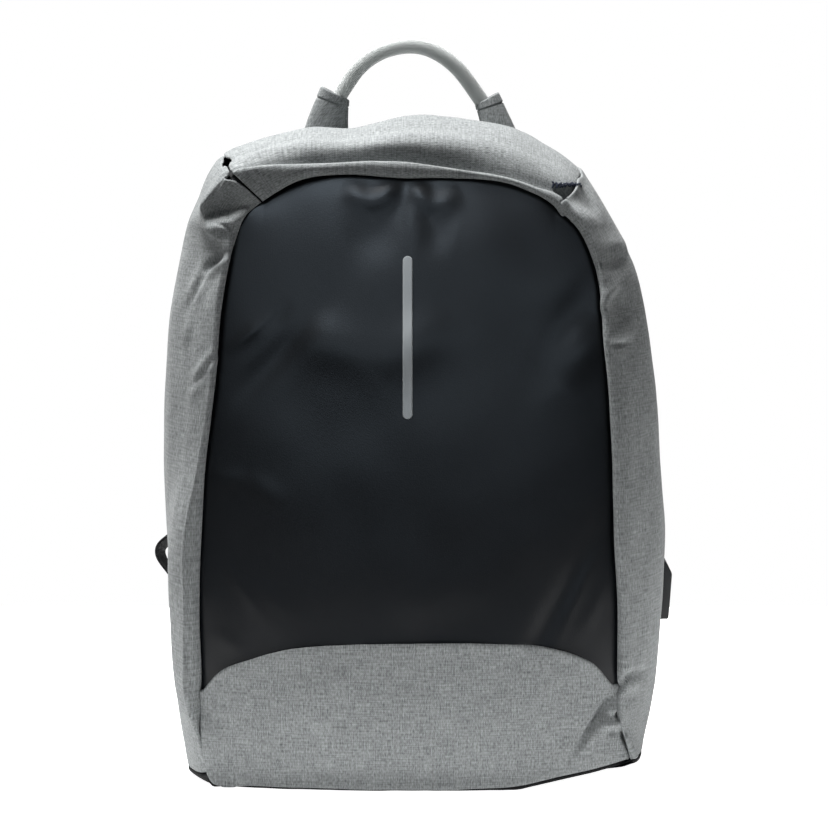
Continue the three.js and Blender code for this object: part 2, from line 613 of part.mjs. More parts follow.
// Charging port on the right side: a block with a chamfered top, cut to lie on the gusset.
function usbPort() {
  const beside = onGusset(rightPlaces).flat().filter((p) => p.z > USB.low && p.z < USB.high);
  const root = Math.max(...beside.map((p) => p.x));
  const outline = new THREE.Shape([
    new THREE.Vector2(root - USB.sink, USB.low),
    new THREE.Vector2(root + USB.proud - USB.taper, USB.low),
    new THREE.Vector2(root + USB.proud, USB.high - USB.chamfer),
    new THREE.Vector2(root + USB.proud - 4, USB.high),
    new THREE.Vector2(root - USB.sink, USB.high),
  ]);
  const block = new THREE.ExtrudeGeometry(outline, { depth: USB.depth, bevelEnabled: false });
  block.rotateX(Math.PI / 2).translate(0, USB.y + USB.depth / 2, 0);
  return geometryOf(solidOf(block).subtract(solidOf(gussetWall(rightPlaces, { out: 0.35, into: 7 }))));
}
add("usb_port", usbPort(), PLASTIC);

// Straps: a flat section carried along a path behind the back panel.
function bandRings(rows, section, steps) {
  const path = throughRows(rows, (row) => [row.x, BACK_FACE_Y + row.off, row.z]);
  const twist = throughRows(rows, (row) => [row.turn ?? 0, 0, 0]);
  const last = rows.length - 1;
  return range(0, last, steps).map((row) => {
    const ahead = path(Math.min(row + 0.05, last)).sub(path(Math.max(row - 0.05, 0))).normalize();
    const flat = new THREE.Vector3(1, 0, 0).applyAxisAngle(ahead, THREE.MathUtils.degToRad(twist(row).x));
    const width = flat.addScaledVector(ahead, -flat.dot(ahead)).normalize();
    const thick = ahead.clone().cross(width);
    const centre = path(row);
    return section.map((p) => centre.clone().addScaledVector(width, p.x).addScaledVector(thick, p.y));
  });
}
function roundedSection(width, thick, round) {
  const [w, t] = [width / 2, thick / 2];
  return [
    [w - round, -t], [w - round * 0.3, -t + round * 0.3], [w, -t + round],
    [w, t - round], [w - round * 0.3, t - round * 0.3], [w - round, t],
    [-w + round, t], [-w + round * 0.3, t - round * 0.3], [-w, t - round],
    [-w, -t + round], [-w + round * 0.3, -t + round * 0.3], [-w + round, -t],
  ].map(([x, y]) => new THREE.Vector2(x, y));
}
const mirrored = (rows) => rows.map((row) => ({ ...row, x: -row.x }));
const strapSection = roundedSection(STRAP.width, STRAP.thick, STRAP.round);
const adjusterSection = roundedSection(ADJUSTER.width, ADJUSTER.thick, 1.5);
const flatSection = (width, thick) =>
  [[1, -1], [1, 1], [-1, 1], [-1, -1]].map(([x, y]) => new THREE.Vector2((x * width) / 2, (y * thick) / 2));

for (const [side, strapPath, webbingPath] of [
  ["left", mirrored(STRAP_PATH), WEBBING_LEFT],
  ["right", STRAP_PATH, WEBBING_RIGHT],
]) {
  add(`shoulder_strap_${side}`, loft(bandRings(strapPath, strapSection, 18)), CLOTH);
  const adjuster = side === "left" ? mirrored(ADJUSTER_PATH) : ADJUSTER_PATH;
  add(`strap_adjuster_${side}`, loft(bandRings(adjuster, adjusterSection, 1)), PLASTIC);
  const webbing = bandRings(webbingPath, flatSection(WEBBING.width, WEBBING.thick), 4 * (webbingPath.length - 1));
  add(`strap_webbing_${side}`, loft(webbing), DARK_CLOTH);
}
export default backpack;
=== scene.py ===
"""Looks of a soft-sided day backpack: heathered grey gussets and pocket, dark coated front, tube handle,
padded back and straps. Lengths in the tables are millimetres and turns are degrees; meshes are in metres."""

import math

import bpy
import numpy as np
from bpy.props import FloatProperty, FloatVectorProperty, PointerProperty
from bpy.types import Operator, Panel, PropertyGroup
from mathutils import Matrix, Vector


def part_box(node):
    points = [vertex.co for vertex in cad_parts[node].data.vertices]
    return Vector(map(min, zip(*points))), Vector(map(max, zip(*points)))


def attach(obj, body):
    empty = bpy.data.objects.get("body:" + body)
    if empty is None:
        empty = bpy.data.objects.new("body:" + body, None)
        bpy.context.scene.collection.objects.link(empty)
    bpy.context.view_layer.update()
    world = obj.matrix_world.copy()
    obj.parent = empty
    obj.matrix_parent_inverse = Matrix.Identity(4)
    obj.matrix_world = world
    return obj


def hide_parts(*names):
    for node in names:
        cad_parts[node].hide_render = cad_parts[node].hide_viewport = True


bl_info = {
    "name": "Day backpack",
    "version": (1, 0, 0),
    "blender": (4, 5, 0),
    "location": "View3D > Sidebar > Backpack",
    "description": "Builds the cloth, straps, handle and finishes of a day backpack round its packed model",
    "category": "Add Mesh",
}

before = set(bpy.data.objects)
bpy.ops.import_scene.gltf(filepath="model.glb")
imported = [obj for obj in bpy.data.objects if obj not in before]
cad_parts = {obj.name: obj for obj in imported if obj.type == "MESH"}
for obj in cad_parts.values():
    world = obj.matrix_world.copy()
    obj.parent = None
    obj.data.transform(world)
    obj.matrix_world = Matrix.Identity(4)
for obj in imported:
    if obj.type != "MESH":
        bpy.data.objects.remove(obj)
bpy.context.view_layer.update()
MM = 0.001

# Driving dimensions
HEM_LIFT = 2.6  # how far a folded hem stands in front of the panel under it
HOOD_SET = 1  # how much closer the hood's hem lies
HEM_COVER = 6  # how far a panel runs on under the hem that covers it
HEM_ROLL = 3.2  # how far a hem rolls in at its edge
HEM_ROLL_WIDTH = 7.5
SEAM_GAP = 0.25  # between two pieces that are sewn to each other
SIDE_CREST_Y = 5  # depth at which the sides are widest
TOP_CREST_Y = 25  # depth at which the top is highest
BACK_EDGE_Y = 60  # depth of the seam round the back panel
BACK_FACE_Y = 65  # flat outer face of the padded back
BACK_ROUND = 9  # how far the gusset turns in before it meets the back panel
BAG_MIDDLE = np.array([0.0, -5.0, 215.0])

# Gusset sections from the bottom left, over the top, to the bottom right. Columns: hem x and z, outermost
# x and z, ridge (share of hem to outermost), roll (fold in front of the hem), dip (hollow behind the fold).
GUSSET = np.array([
    (-129.5, 11, -151, 3.5, 0.15, 0, 0),
    (-134, 35, -156, 33, 0.24, 2, 0),
    (-134.5, 66, -159.2, 66, 0.46, 3.5, -3),
    (-135.5, 112, -161.7, 112, 0.4, 3.8, -3.5),
    (-134.2, 164, -164, 164, 0.4, 3.2, -2),
    (-130.3, 215, -164.5, 215, 0.2, 3, 1),
    (-123.3, 266, -163, 266, 0.15, 3, 1),
    (-119.5, 311, -158.5, 311, 0.15, 2.5, 1.5),
    (-113.2, 349, -150.5, 348, 0.2, 2.5, 2),
    (-108, 367, -142, 375, 0.78, -1.5, 2),
    (-96, 378, -124.5, 405, 0.68, -0.2, 2),
    (-72, 390, -74, 422.5, 0.38, 3, 3),
    (-41, 394, -42, 422, 0.32, 1.5, 4.5),
    (-6, 392, -5, 430, 0.3, 1.5, 6),
    (23, 392, 23.5, 430, 0.2, 1, 6),
    (54, 389.5, 56, 424.5, 0.14, 1, 2),
    (76, 382, 80.5, 415.5, 0.17, 1, 2),
    (89.5, 373, 107.3, 397.5, 0.3, 2.5, 2),
    (105, 356, 127, 368.5, 0.25, 2.5, 1),
    (115, 326, 145.5, 329, 0.2, 2.5, 1),
    (117.7, 291, 153.5, 290, 0.15, 2.5, 2),
    (121.3, 252, 159.5, 251, 0.15, 2.5, 3),
    (123.4, 207, 162.5, 206, 0.15, 2.5, 3),
    (125, 162, 166.2, 160, 0.15, 2.5, 2),
    (128.3, 116, 165.2, 114, 0.2, 2, 1),
    (128.8, 70, 162, 68, 0.25, 2, 1),
    (130, 44, 158, 41, 0.2, 1.5, 1),
    (141, 19, 151.5, 15, 0.1, 1, 0),
])
LEFT_SEAM = 10  # row of the mitred corner between the left side and the top
RIGHT_SEAM = 17  # row of the mitred corner between the top and the right side
LAST_ROW = len(GUSSET) - 1
LEFT_POCKET_ROW = 2  # rows where the pocket's top seam meets the sides
RIGHT_POCKET_ROW = 25
ROW_MM = 34  # about the distance between two rows near the corners
RIDGE_SHARE = 1 / 6  # where the front fold lies across the gusset
RIDGE_BEND = (9.5, 0.3, -0.12)  # row, size in rows and change of the ridge beside the left corner
# Places of the section between its folds: share of the way out, share of the way back
FACE_PLACE = (0.45, 0.2)  # behind the front fold
SHOULDER_PLACE = (0.86, 0.55)  # before the widest place
TURN_PLACE = (0.2, 0.72)  # where the back starts to turn in, out in shares of its round
SHOULDER_DIP = 0.3  # share of the dip at the shoulder
PINCH_PULL = (-1, -0.6, -1)  # how strongly a pinch is drawn to the middle in x, y and z

# Fine forms of the gussets
FOLD_WIDTH = 0.016  # of the crisp fold, in shares
FOLD_ROUND = 0.003
HOOD_HEM_EASE = 0.35  # how much less the hood's hem rolls in
FOOT_TUCK = 2.5  # how deep the left hem tucks in at its foot
FOOT_TUCK_WIDTH = 9
FOOT_TUCK_ROWS = (1.9, 0.3)  # row up to which it is full, and rows over which it dies out
MITRE_GROOVE = (0.4, 1.2)  # depth and width of the sewn line at a mitred corner
MITRE_ROLL = (0.4, 4)  # height and width of the roll beside it
MITRE_PUCKER = (0.3, 14, 60)  # height, width and waves of its puckers
MITRE_LIFT = (2, 7)  # how far the right gusset's end stands off the top, and how wide
MITRE_LIFT_SHARES = (0.32, 0.18)  # its place and size
CREASE_FADE = (25, 20)  # depth behind which there are no creases, and over which they fade in
SECTION_MM = 200  # about the length of a section
RIPPLE_HEIGHT = 0.5
GUSSET_WAVES = (90, 18)  # longest and shortest ripple

# Section of the rolled hood in front of the top. Columns: share; reach from the hem in ridge heights, in mm
# and in shares of the rest up to the crest; depth behind the hem in mm, in shares of the span, in rolls and
# in dips.
HOOD = np.array([
    (0, 0, 0, 0, 0, 0, 0, 0),
    (0.05, 0.35, 0, 0, 0, 0, -0.8, 0),
    (0.1, 0.72, 0, 0, 0, 0, -1, 0),
    (0.15, 0.97, 0, 0, 0.8, 0, -0.6, 0),
    (0.175, 1, 0, 0, 3, 0, -0.2, 0),
    (0.2, 1, -1, 0, 5.2, 0, 0, 0),
    (0.225, 1, -2.6, 0, 6.8, 0, 0, 0),
    (0.25, 1, 0, 0, 8, 0, 0, 0),
    (0.28, 1, 0, 0.2, 9, 0, 0, -0.16),
    (0.32, 1, 0, 0.39, 11, 0.02, 0, -0.5),
    (0.36, 1, 0, 0.52, 12, 0.06, 0, -0.5),
    (0.4, 1, 0, 0.63, 13, 0.12, 0, -0.25),
])
SECTION_SHARES = np.concatenate([HOOD[:, 0], np.linspace(0.5, 1, 7)])
# How much of the hood each row has, and the height of the crisp fold there. Columns: row, hood, fold.
FOLDS = np.array([
    (0, 0, 0.3), (1, 0, 1.2), (2, 0, 2.6), (3.5, 0, 1.6), (5, 0, 0.5), (8, 0, 0.6), (8.8, 0, 0.3),
    (9.6, 0, 0), (10.2, 0.6, 0.3), (11, 1, 0), (14.5, 1, 0), (16, 0.8, 0), (16.9, 0.7, 0.3),
    (17.5, 0.1, 0.3), (18.5, 0, 0.3), (20, 0, 0.6), (25, 0, 0.6), (27, 0, 0.3),
])

# Pinches in the gusset. Columns: row, share, size in rows, size in shares, depth.
GUSSET_PINCHES = (
    (8.8, 0.22, 0.3, 0.13, 2.6),
    (7.6, 0.3, 0.5, 0.08, 2),
    (19.2, 0.32, 0.3, 0.16, 3),
    (25.3, 0.22, 0.22, 0.14, 3),
)

# The front, a row for each height. Columns: z, depth on the middle line, depth at the hems, half width.
FRONT = np.array([
    (0, -64, -50, 134),
    (30, -73, -55, 135),
    (70, -79, -59, 132),
    (120, -81, -61, 132),
    (180, -79, -60, 129),
    (240, -73, -57, 125),
    (300, -63, -51, 119),
    (350, -50, -43, 111),
    (378, -40, -37, 96),
    (396, -33, -32, 80),
])
FRONT_ROUND = 2.2  # how square the bulge is across
PANEL_SINK = 3.5  # how far the dark front sinks under the hems that cover its edges
PANEL_STEP = (2.2, 0.7)  # how far under the hem it sinks, and how softly
HOOD_LEAN = (1.6, 8)  # how far it leans back just below the hood, and the length over which that dies out
CORNER_LEAN = (1.3, -84, 26)  # how much more it leans beside the left corner, with place and size
POCKET_PUSH = (0.8, 9)  # how far it is pushed out just above the pocket, and the length
PANEL_WAVES = (11, 120, 35)  # seed, longest and shortest ripple
PANEL_THICK = 1.6

# Soft dents in the front and its pocket. Columns: x, z, turn from +X towards +Z, length, width, depth.
FRONT_FOLDS = (
    (-10, 377, 70, 22, 8, 0.8),
    (9, 376, 105, 20, 7, 0.5),
    (-1, 374, 90, 24, 6, -0.8),
    (-30, 350, 40, 34, 16, 0.4),
    (-84, 285, 48, 40, 9, 2),
    (96, 300, 60, 40, 12, 2),
    (88, 118, 62, 44, 8, 1.5),
    (112, 46, 58, 26, 8, 0.6),
    (-20, 12, 0, 60, 10, 1.5),
)

CREASE_RUN_ON = 0.15  # share of its length by which a crease runs on past both ends
# Creases seen from the front. Columns: start x and z, end x and z, width, height, step to the left of it.
GUSSET_CREASES = (
    (-119, 395.5, -138, 370, 2.5, 1.2, -0.8),
    (-136, 372, -144, 358, 3, 0.8, -0.4),
    (-136, 366, -113, 370.5, 3.5, -2.4, -0.8),
    (-118, 369.5, -97, 379, 3.5, -2, -0.8),
    (-134, 360.5, -113, 364.5, 5, 3.2, 0),
    (-117, 364, -101, 372, 5, 2.4, 0),
    (-131, 373, -106, 380, 6, -1.2, 0),
    (-127, 365.8, -114, 361, 1.6, -1.6, 0.5),
    (-118, 348, -135, 333.5, 2.6, -2.6, 0),
    (-131, 338, -146, 308, 2.8, -2.2, 0),
    (-117, 343.5, -132, 330.5, 2.6, 2, 0),
    (-129, 334, -141, 312, 2.8, 1.4, 0),
    (-130, 345, -147.5, 310, 3.2, 1.5, 0),
    (-143, 304, -148, 286, 2.8, 0.9, 0),
    (-127, 286, -141.5, 263, 2.6, 1.5, 0),
    (-123, 284, -139.5, 262.5, 2.2, -2.3, 0),
    (-122, 282, -135.5, 268.5, 2.4, 2.1, 0),
    (-132, 273, -143, 252, 2.8, 1.1, 0),
    (-147, 150, -152, 90, 5, 0.6, 0.4),
    (-148.5, 120, -147.3, 58, 2.5, 0.8, 0),
    (-148, 70, -138, 34, 2.5, 1, 0),
    (99, 375.5, 119, 361.5, 4, 1.6, 0),
    (101, 385, 117, 371, 5, -1.5, 0),
    (113, 389, 123, 364, 2.5, 0.9, 0),
    (125, 354, 138, 344.5, 4, 1.4, 0),
    (114, 339.5, 140, 338.5, 7, -3, 0),
    (117, 308, 122, 322, 3.2, 2.2, 0),
    (119, 319.5, 133, 327.5, 3.4, 2.2, 0),
    (126, 318, 143, 304, 7, -2, 0),
    (124, 298, 139, 291, 7, 2.4, 0),
    (122, 289.5, 138, 288.5, 2.2, -2, 0),
    (124, 290, 128.5, 158, 5, -1.4, 0),
    (132, 287, 138, 160, 9, 1.7, 0),
    (127, 64, 141, 77, 3, -4, -0.6),
    (134, 75.5, 152, 74.5, 4, -2.5, -0.4),
    (140, 210, 134, 150, 8, 0.5, 0.5),
)
POCKET_CREASES = (
    (132, 69, 103, 24, 2.3, -5, 1.6),
    (134, 61, 118, 35, 3.6, 2.4, 0),
    (135, 49.5, 123, 50, 2.4, -2, 0),
    (137, 43.5, 120, 44.5, 2.6, 3, 0),
    (132, 38.5, 124, 37, 2.2, -1.8, 0),
    (-128, 40, -118, 12, 6, 0.7, 0.4),
    (20, 8, 86, 12, 7, -0.7, 0),
    (-100, 10, -40, 8, 6, -0.6, 0),
)
FRONT_CREASES = (
    (-44, 388, -25, 375, 7, 1.9, 0),
    (-27, 375, -9, 391, 7, 2.5, 0),
    (0, 391, 11, 373, 6, 2.4, 0),
    (10, 373, 28, 384, 7, 1.6, 0),
    (-44, 353, -14, 362, 14, -1, 0),
    (6, 360, 24, 356, 13, -0.8, 0),
    (-114, 285, -84, 311, 5, 1, 0.5),
    (-100, 300, -78, 314, 6, -0.9, 0),
    (-76, 301, -18, 277, 16, 2.8, 0),
    (-18, 276, 19, 307, 16, 2.6, 0),
    (52, 320, 92, 272, 20, -2, 0),
    (92, 272, 115, 301, 15, 2.6, 0),
    (-128, 202, -107, 206, 6, 0.7, 0),
    (-107, 206, -82, 190, 7, 0.7, 0),
    (-122, 148, -96, 112, 6, 0.35, 0.2),
    (-100, 140, -80, 118, 6, 0.3, 0),
    (-129, 106, -110, 92, 6, 0.35, 0),
    (92, 100, 119, 159, 5, 0.5, 0.3),
    (104, 100, 124, 140, 5, 0.4, 0),
)

# Seam between the dark panel and the pocket: a flat arch from hem to hem. Columns: x, z.
POCKET_ARCH = np.array([
    (-136, 66), (-127.5, 76.5), (-104.5, 88.5), (-85.5, 95), (-37.5, 100.7), (0, 101.7), (48, 101.2),
    (86.5, 97.3), (106, 90.5), (116, 84.5), (127.8, 70),
])
# Lower edge of the pocket. Columns: x, z.
POCKET_FOOT = np.array([
    (-135, 8), (-133, 4.8), (-131, 2.7), (-127.5, 0.9), (-106, 1.2), (-73, 1), (-40, 0.8), (36, 0.8),
    (68, 2.6), (94, 7.8), (120, 13.3), (141, 18.5),
])
POCKET_TUCK = 12  # how deep the pocket's sides turn in under the gussets
POCKET_TUCK_WIDTHS = (8, 4)
POCKET_FREE = (80, 2.5)  # below this height its left side lies on the gusset, and how softly
POCKET_HELD = 0.1  # how much it still turns in there
POCKET_GAPE = (0.9, 43.5, 4)  # how much less its right side turns in, with height and size
POCKET_TIP = (0.8, 7)  # the same at its top, with the distance from it
POCKET_PUFF = (4, 14)  # how far its lower left corner puffs out, and how wide
POCKET_PUFF_Z = (42, 4)  # height below which it does, and how softly
POCKET_LIP = (0.8, 8)  # height and width of the swelling along its top seam
POCKET_PIPING = (0.5, 1.2)  # how far the seam itself turns in, and how wide
POCKET_SOLE = (1.2, 2.5)  # the same along its foot
POCKET_PUCKERS = (0.2, 14)  # height of the puckers under its top seam, and how far they reach
PUCKER_WAVES = (21, 26, 9)
PUCKER_SLANT = 0.15
POCKET_RIPPLE = 0.45
POCKET_WAVES = (23, 90, 20)
# How far the pocket's sides run on under the hems, by share of the height
POCKET_LEFT_COVER = (5, -1.5)  # at the foot, and the change up to the top
POCKET_RIGHT_COVER = (2.2, 3)  # below and above the place where it is held
POCKET_HOLD = (0.36, 0.02)  # that place, and how softly it changes there
POCKET_TONGUES = ((2.5, 0.45, 0.05), (1.2, 1, 0.2))  # extra cover on the right, with place and size

# Openings of the mitred corners in the gussets beside the top. Columns: share, size in shares, width.
LEFT_OPENINGS = ((0.17, 0.05, 5.5), (0.535, 0.07, 3))
TOP_OPENINGS = ((0.535, 0.07, 2.4),)
RIGHT_OPENINGS = ((0, 0.1, -3.5), (0.33, 0.13, 4), (0.56, 0.07, 3.5))
TOP_REACH = 0.26  # rows that the top runs on under the right gusset
RECESS_DEPTH = 9  # how deep it sinks there, in a tongue that points along the top
RECESS_SHARE = 0.26
RECESS_SHARES = (0.07, 0.045)  # size of the tongue in front of its share and behind it
RECESS_ROWS = (0.08, 0.5, 0.25)  # start beyond the seam, length of the tongue, and slope
RECESS_HEM = 0.12  # share within which it fades towards the hem
HEM_SINK = 5  # how far the top's hem goes down under the right gusset
HEM_SINK_ROWS = (0.06, 0.2)  # start before the seam, and rows over which it goes down
HEM_SINK_SHARE = 0.1
TAPE_ROWS = 0.12
TAPE_DEPTHS = (7, 12)
TAPE_STARTS = (0.1, 0.27)  # share where a tape starts behind the hem
TAPE_END = 0.75
TAPE_THICK = 1
# Loose threads along the recess. Columns: first row, last row, turns, start of the swing.
CORNER_THREADS = ((16.5, 17.16, 6.5, 0), (16.62, 17.2, 4.5, 1.1), (16.9, 17.22, 3.5, 2.3))
THREAD_LINE = (0.286, 0.235, 16.55)  # share, shares a row, and row of the line that they follow
THREAD_SAG = (0.05, 0.72, 16.5)  # shares, rows and first row of its sag
THREAD_SWING = 0.012
THREAD_BOW = (0.5, 0.9)  # how far a thread stands off, and by how much that changes
THREAD_UP = (0.31, 0.27, 0.91)  # a direction that no thread or tube runs along

STRIP_X = -4
STRIP_WIDTH = 6.2
STRIP_LOW = 244
STRIP_HIGH = 345
STRIP_THICK = 0.8
STRIP_EDGE = 0.5  # radius of its edge

TUBE_DIAMETER = 10
HANDLE_Y = 52
HANDLE_ARCH = np.array([
    (-56, 432), (-47, 447), (-35.8, 462.3), (-21.5, 472), (-4, 476), (12, 473), (28, 462), (42, 444),
    (50, 431),
])
# Sleeves of the handle, a row for each level. Columns: x and z of one side, x and z of the other, depth.
TAB_LEFT = np.array([
    (-77, 409, -43, 409, 15), (-70, 430, -43.5, 427, 15), (-61.5, 449.7, -43, 440.4, 14),
])
TAB_RIGHT = np.array([
    (47, 410, 73, 410, 15), (43.3, 427, 64, 429, 15), (40.6, 437.2, 55.9, 445.8, 14),
])
TAB_HEM = 6.5  # depth of the turned hem at the mouth of a sleeve
TAB_LEANS = (1, 6)  # how far a sleeve's foot lies in front of its mouth, left and right
TAB_STEPS = (2.6, -0.9)  # how much shorter a sleeve's front layer is at its open side, right or left
TAB_DOUBLE = (0.3, 0.15)  # how far the hem stands out, and how softly
TAB_SEAM = (0.7, 0.3, 0.4)  # depth of the line under the hem, its place and width
TAB_LIP = (0.7, 0.9)  # how far the lip turns in, and from which height
TAB_INSIDE = 0.72  # level down to which the inside is seen
TAB_WALLS = (1.3, 1.7)  # wall at the lip and inside
TAB_PRESS = 0.6  # how much flatter it is than its depth
# Round the section: slope and start of the open side, slope of the front layer's edge, and the slit behind it
TAB_OPEN = (4, 1.6)
TAB_FRONT = 6
TAB_SLIT = (0.8, 0.08, 0.1)

PORT_SINK = 1.5  # how far the charging port goes into the gusset
PORT_SLOPES = (2, 8, 4)  # how far its outer face leans in below, and the height and depth of its upper slope
PORT_ROUND = 1.6
PORT_BEVEL = np.array([(1.2, 0), (0.66, 0.07), (0.3, 0.3), (0.084, 0.65), (0, 1.2)])  # inset, depth

# The padded back, by distance in from its rim
PAD_INSETS = np.array([0, 0.6, 1.4, 2.5, 4, 6, 9, 11, 12, 13, 15, 18, 23, 30, 45, 65, 90, 120, 150])
PAD_ROUND = 4.5  # distance over which it swells
PAD_QUILT = (0.35, 12, 1.6)  # share of the swelling, place and width of the sewn groove
PAD_RIPPLE = 0.3
PAD_WAVES = (31, 90, 30)

# The base turns up to its rim; its front right corner is lifted off the floor.
BASE_INSETS = np.array([0, 0.5, 1.2, 2.2, 3.5, 5, 6.5, 8, 10, 14, 20, 30, 45, 70, 110])
BASE_TURN = 8  # distance over which it turns up
BASE_MIDDLE = np.array([-23.0, 4.0, 0.0])
BASE_INSET = 3  # how far the base's front edge lies behind the pocket's foot
BASE_CORNER_LIFT = 17
BASE_LIFT_X = (35, 145)  # where it starts and where it is full
BASE_LIFT_Y = (10, -62)
CLOTH_WALL = 2

# Straps behind the back
STRAP_WIDTH = 64
STRAP_THICK = 9
STRAP_BOUND = 0.6  # how far the binding stands out past the pad
STRAP_EDGE = (25, 6)  # half width up to which the pad is full, and over which it thins
STRAP_THIN = (0.62, 0.7)  # by how much it thins, and how suddenly
BINDING = (3.6, 2.4)  # half width and half thickness
BINDING_INSET = 3.2
# Columns of the paths: x, height above the back's face, z, turn on edge
STRAP_PATH = np.array([
    (37, 5.1, 400, 0), (38, 6.1, 388, 0), (40, 11.5, 372, 0), (46, 29, 346, 0), (55, 44, 312, 0),
    (66, 51, 272, 0), (78, 46, 230, 0), (84.5, 39.5, 208, 0),
])
ADJUSTER_WIDTH = 36
ADJUSTER_THICK = 6
ADJUSTER_ENDS = (0.25, 0.05)  # by how much it narrows at its ends, and over which share
ADJUSTER_WAIST = (0.3, 0.25)  # by how much it thins in the middle, and over which share of half its length
ADJUSTER_PATH = np.array([(84.7, 39.3, 207.4, 0), (90.1, 33.9, 189.2, 0)])
WEBBING_WIDTH = 25
WEBBING_THICK = 2
WEBBING_RIGHT = np.array([
    (90.3, 33.7, 188.6, 0), (93.3, 30.4, 178, 0), (104, 18, 142, 0), (115, 8, 104, 0), (123, 2.6, 72, 0),
    (128, 1.6, 52, 0), (131, 1.6, 36, 0),
])
WEBBING_LEFT = np.array([
    (-90.3, 33.7, 188.6, 0), (-93.8, 30, 176.5, 0), (-116, 26, 162, -30), (-145, 22, 151, -62),
    (-167, 19, 139, -80), (-175.7, 17, 130, -81.5), (-169, 15, 117, -82), (-149, 11, 101, -50),
    (-135, 5, 78, -12), (-130, 1.9, 58, 0), (-130, 1.6, 40, 0),
])

# Finishes, in metres
FLECK_SIZE = 0.00078
COATING_GRAIN = 0.0008

# Camera and light, in metres
CAMERA_PLACE = (0, -1.73297, 0.48040)
CAMERA_AIM = (0, 0, 0.23685)
CAMERA_LENS = 115.9  # in millimetres, as is its sensor
CAMERA_SENSOR = 36
BRIGHT_SIDE = (-0.25, 0.47, 0.85)  # where the room is brightest
SHEEN_TINT = (0.72, 0.86, 1.0)
FLOOR_TONE = (0.82, 0.82, 0.82)
TABLE_X = (-0.42, 0.54)  # the pale floor lies only round the bag
TABLE_Y = (-0.33, 0.5)
TABLE_GLOW = (0.22, 1.4)  # light that the floor adds to what falls on it, at its left and right edge
ROOM_GLOW = (0.02, 0.6)  # light of the room on its dim and on its bright side
ROOM_DIM = -0.1  # cosine of the turn away from the bright side at which it is dimmest
# Soft lights. Columns: name, place, aim, width and height, watts, and whether it shows only as a reflection.
LIGHTS = (
    ("Overhead softbox", (-0.5, 0.16, 2.1), (0, 0, 0.2), (0.7, 0.7), 77, False),
    ("Rear softbox", (-0.2, 1.3, 1.6), (0, 0.1, 0.35), (1.2, 1.2), 10, False),
    ("Sheen card", (-0.27, -1.1, 1.68), (0, -0.05, 0.37), (0.74, 0.7), 12.5, True),
    ("Front card", (0, -2.6, 0.95), (0, -0.05, 0.25), (3.4, 1), 19, True),
)


def measure(name, description, default):
    """A length property, in metres."""
    return FloatProperty(
        name=name, description=description, default=default, unit="LENGTH", subtype="DISTANCE"
    )


def colour(name, description, default):
    """A colour property with linear values."""
    return FloatVectorProperty(name=name, description=description, default=default, size=3, subtype="COLOR")


class BackpackSizes(PropertyGroup):
    """Sizes of the cloth that a user would change."""

    cloth: measure("Cloth", "Thickness of a cloth wall", 0.002)
    hem: measure("Hem", "Radius of a folded cloth edge", 0.0012)
    thread: measure("Thread", "Diameter of sewing thread", 0.0008)
    yarn: measure("Yarn", "Pitch of the woven yarns", 0.0007)


class BackpackColours(PropertyGroup):
    """Colours of the finishes, as linear values."""

    grey_dark: colour("Grey, dark yarn", "Darkest yarn of the heathered cloth", (0.11, 0.117, 0.119))
    grey_light: colour("Grey, light yarn", "Lightest yarn of the heathered cloth", (0.40, 0.42, 0.42))
    coated: colour("Coated front", "Coated cloth of the front panel", (0.0062, 0.0074, 0.0092))
    dark: colour("Dark cloth", "Base, back, tapes and webbing", (0.013, 0.0133, 0.014))
    tube: colour("Tube", "Satin tube of the handle", (0.3, 0.312, 0.307))
    strip: colour("Strip", "Reflective strip", (0.40, 0.425, 0.435))
    plastic: colour("Plastic", "Charging port and strap adjusters", (0.0065, 0.0065, 0.007))
    thread: colour("Thread", "Corner stitches", (0.012, 0.018, 0.045))


def sizes():
    """The sizes in use."""
    return bpy.context.scene.backpack_sizes


def colours():
    """The colours in use."""
    return bpy.context.scene.backpack_colours


# Curves and surfaces


def through_rows(table, rows):
    """Smooth curve through the rows of a table at any row number: each piece is the cubic that meets its two
    rows with half the step between their neighbours as slope, and the ends run on straight."""
    table = np.asarray(table, float)
    run = np.vstack([2 * table[0] - table[1], table, 2 * table[-1] - table[-2]])
    rows = np.clip(np.asarray(rows, float), 0, len(table) - 1)
    low = np.minimum(rows.astype(int), len(table) - 2)
    t = (rows - low)[..., None]
    a, b, c, d = (run[low + k] for k in range(4))
    return b + 0.5 * t * (c - a + t * (2 * a - 5 * b + 4 * c - d + t * (3 * (b - c) + d - a)))


def through_places(places, values, at):
    """Smooth curve through values at uneven places: each piece is the cubic that meets its two values with
    the slopes there, and beyond the ends the last value holds."""
    places, values, at = (np.asarray(given, float) for given in (places, values, at))
    slopes = np.gradient(values, places, axis=0)
    low = np.clip(np.searchsorted(places, at) - 1, 0, len(places) - 2)
    run = (places[low + 1] - places[low])[..., None]
    t = np.clip((at - places[low])[..., None] / run, 0, 1)
    rise = values[low] + (values[low + 1] - values[low]) * t**2 * (3 - 2 * t)
    return rise + run * t * (1 - t) * ((1 - t) * slopes[low] - t * slopes[low + 1])


def unit(vectors):
    """The vectors, each divided by its length."""
    return vectors / np.maximum(np.linalg.norm(vectors, axis=-1, keepdims=True), 1e-9)


def bell(distance, width):
    """Bell curve: 1 at no distance, falling off as e to the minus square of distance over width."""
    return np.exp(-((distance / width) ** 2))


def front_depth(x, z):
    """Depth of the front: from the middle line's depth back to the hems' as a power of |x / half width|."""
    centre, edge, half = np.moveaxis(through_places(FRONT[:, 0], FRONT[:, 1:], z), -1, 0)
    return centre + (edge - centre) * np.abs(x / half) ** FRONT_ROUND


